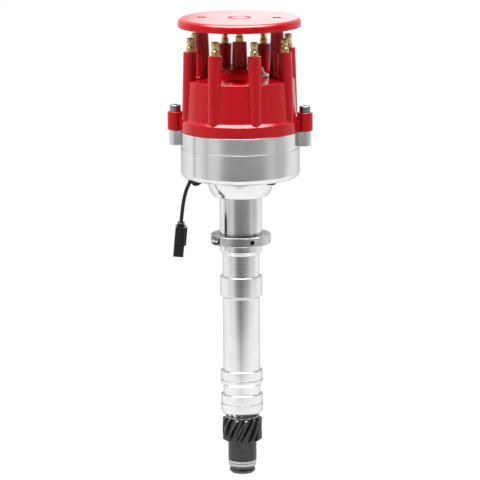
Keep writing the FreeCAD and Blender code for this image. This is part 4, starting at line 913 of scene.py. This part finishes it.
class DISTRIBUTOR_OT_clamp_screw(bpy.types.Operator):
    """Turn the slip collar's clamp screw, with its domed and slotted head"""
    bl_idname = "distributor.clamp_screw"
    bl_label = "Clamp screw"

    def execute(self, context):
        section = [(0, -8.8, 0.0), (1.9, -8.8, 0.3), (1.9, 3.2, 0.0), (3.3, 3.2, 0.2),
                   *[(x, z, 0.0) for x, z in arc((0, 2.82), 4.38, 41.1, 89.9, 8)], (0, 7.2, 0.0)]
        slot = blocked([(-4, -0.4), (4, -0.4), (4, 0.4), (-4, 0.4)], 6.1, 8)
        set_at(slot, CLAMP_SLOT_TURN)
        form = cut_out(turned(softened(section, 0.2), SMALL_STEPS), [slot])
        moved(form, Matrix.Rotation(math.radians(-90), 4, "X"))
        low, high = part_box("collar_clamp_screw")
        height = (low[2] + high[2]) / 2 / MM
        set_at(form, CLAMP_TURN, CLAMP_REACH, 0, height)
        piece = finished("collar_clamp_screw_turned", form, "collar", "screw_steel",
                         "collar_clamp_screw", 30.0)
        # The clamp screw takes the lighter steel, partly painted light against the shade under the
        # bowl
        dress(piece, "screw_steel", "bright_screw_steel_with_painted_light")
        return {"FINISHED"}


# Pieces worked from their own solids


WORKED = {
    "slip_collar": ("collar", "collar_aluminium", 0.4),
    "lead_grommet": ("housing", "black_rubber", 0.6),
    "vent_plug": ("housing", "black_rubber", 0.4),
    "drive_gear": ("shaft", "gear_iron", 0.14),
}


class DISTRIBUTOR_OT_worked(bpy.types.Operator):
    """Break the edges of the collar, the gear, the grommet and the vent plug"""
    bl_idname = "distributor.worked"
    bl_label = "Collar, gear and rubber pieces"

    def execute(self, context):
        for name, (body, slot_name, edge) in WORKED.items():
            finished(name + "_worked", cleaned(name, edge), body, slot_name, name)
        return {"FINISHED"}


# Solids that keep their own shape


class DISTRIBUTOR_OT_solids(bpy.types.Operator):
    """Give every solid that stays in view its finish and clean shading"""
    bl_idname = "distributor.solids"
    bl_label = "Solids"

    def execute(self, context):
        slots = {row["node"]: row["material_slot"] for row in frame["record"]["subparts"]}
        for name, piece in frame["nodes"].items():
            if piece.hide_render:
                continue
            piece.data.materials.clear()
            piece.data.materials.append(finish_of(slots[name]))
            for polygon in piece.data.polygons:
                polygon.use_smooth = True
            weld = piece.modifiers.new("weld", "WELD")
            weld.merge_threshold = 2e-6
            split = piece.modifiers.new("split", "EDGE_SPLIT")
            split.split_angle = math.radians(30)
        return {"FINISHED"}


class DISTRIBUTOR_PT_panel(bpy.types.Panel):
    """Lists the distributor's sizes, colours and makers"""
    bl_label = "Distributor"
    bl_idname = "DISTRIBUTOR_PT_panel"
    bl_space_type = "VIEW_3D"
    bl_region_type = "UI"
    bl_category = "Distributor"

    def draw(self, context):
        layout = self.layout
        for group in (context.scene.distributor_look, context.scene.distributor_sizes):
            for key in group.bl_rna.properties.keys():
                if key not in ("rna_type", "name"):
                    layout.prop(group, key)
        for maker in MAKERS:
            layout.operator(maker.bl_idname)


MAKERS = (
    DISTRIBUTOR_OT_studio, DISTRIBUTOR_OT_lead, DISTRIBUTOR_OT_housing, DISTRIBUTOR_OT_cap,
    DISTRIBUTOR_OT_retainer, DISTRIBUTOR_OT_terminals, DISTRIBUTOR_OT_cap_screws,
    DISTRIBUTOR_OT_washers, DISTRIBUTOR_OT_clamp_screw, DISTRIBUTOR_OT_worked,
    DISTRIBUTOR_OT_solids,
)
CLASSES = (DistributorLook, DistributorSizes, *MAKERS, DISTRIBUTOR_PT_panel)


def register():
    for item in CLASSES:
        bpy.utils.register_class(item)
    bpy.types.Scene.distributor_look = bpy.props.PointerProperty(type=DistributorLook)
    bpy.types.Scene.distributor_sizes = bpy.props.PointerProperty(type=DistributorSizes)


def unregister():
    del bpy.types.Scene.distributor_look
    del bpy.types.Scene.distributor_sizes
    for item in reversed(CLASSES):
        bpy.utils.unregister_class(item)


def main():
    register()
    for maker in MAKERS:
        group, action = maker.bl_idname.split(".")
        getattr(getattr(bpy.ops, group), action)()


if __name__ == "__main__":
    main()
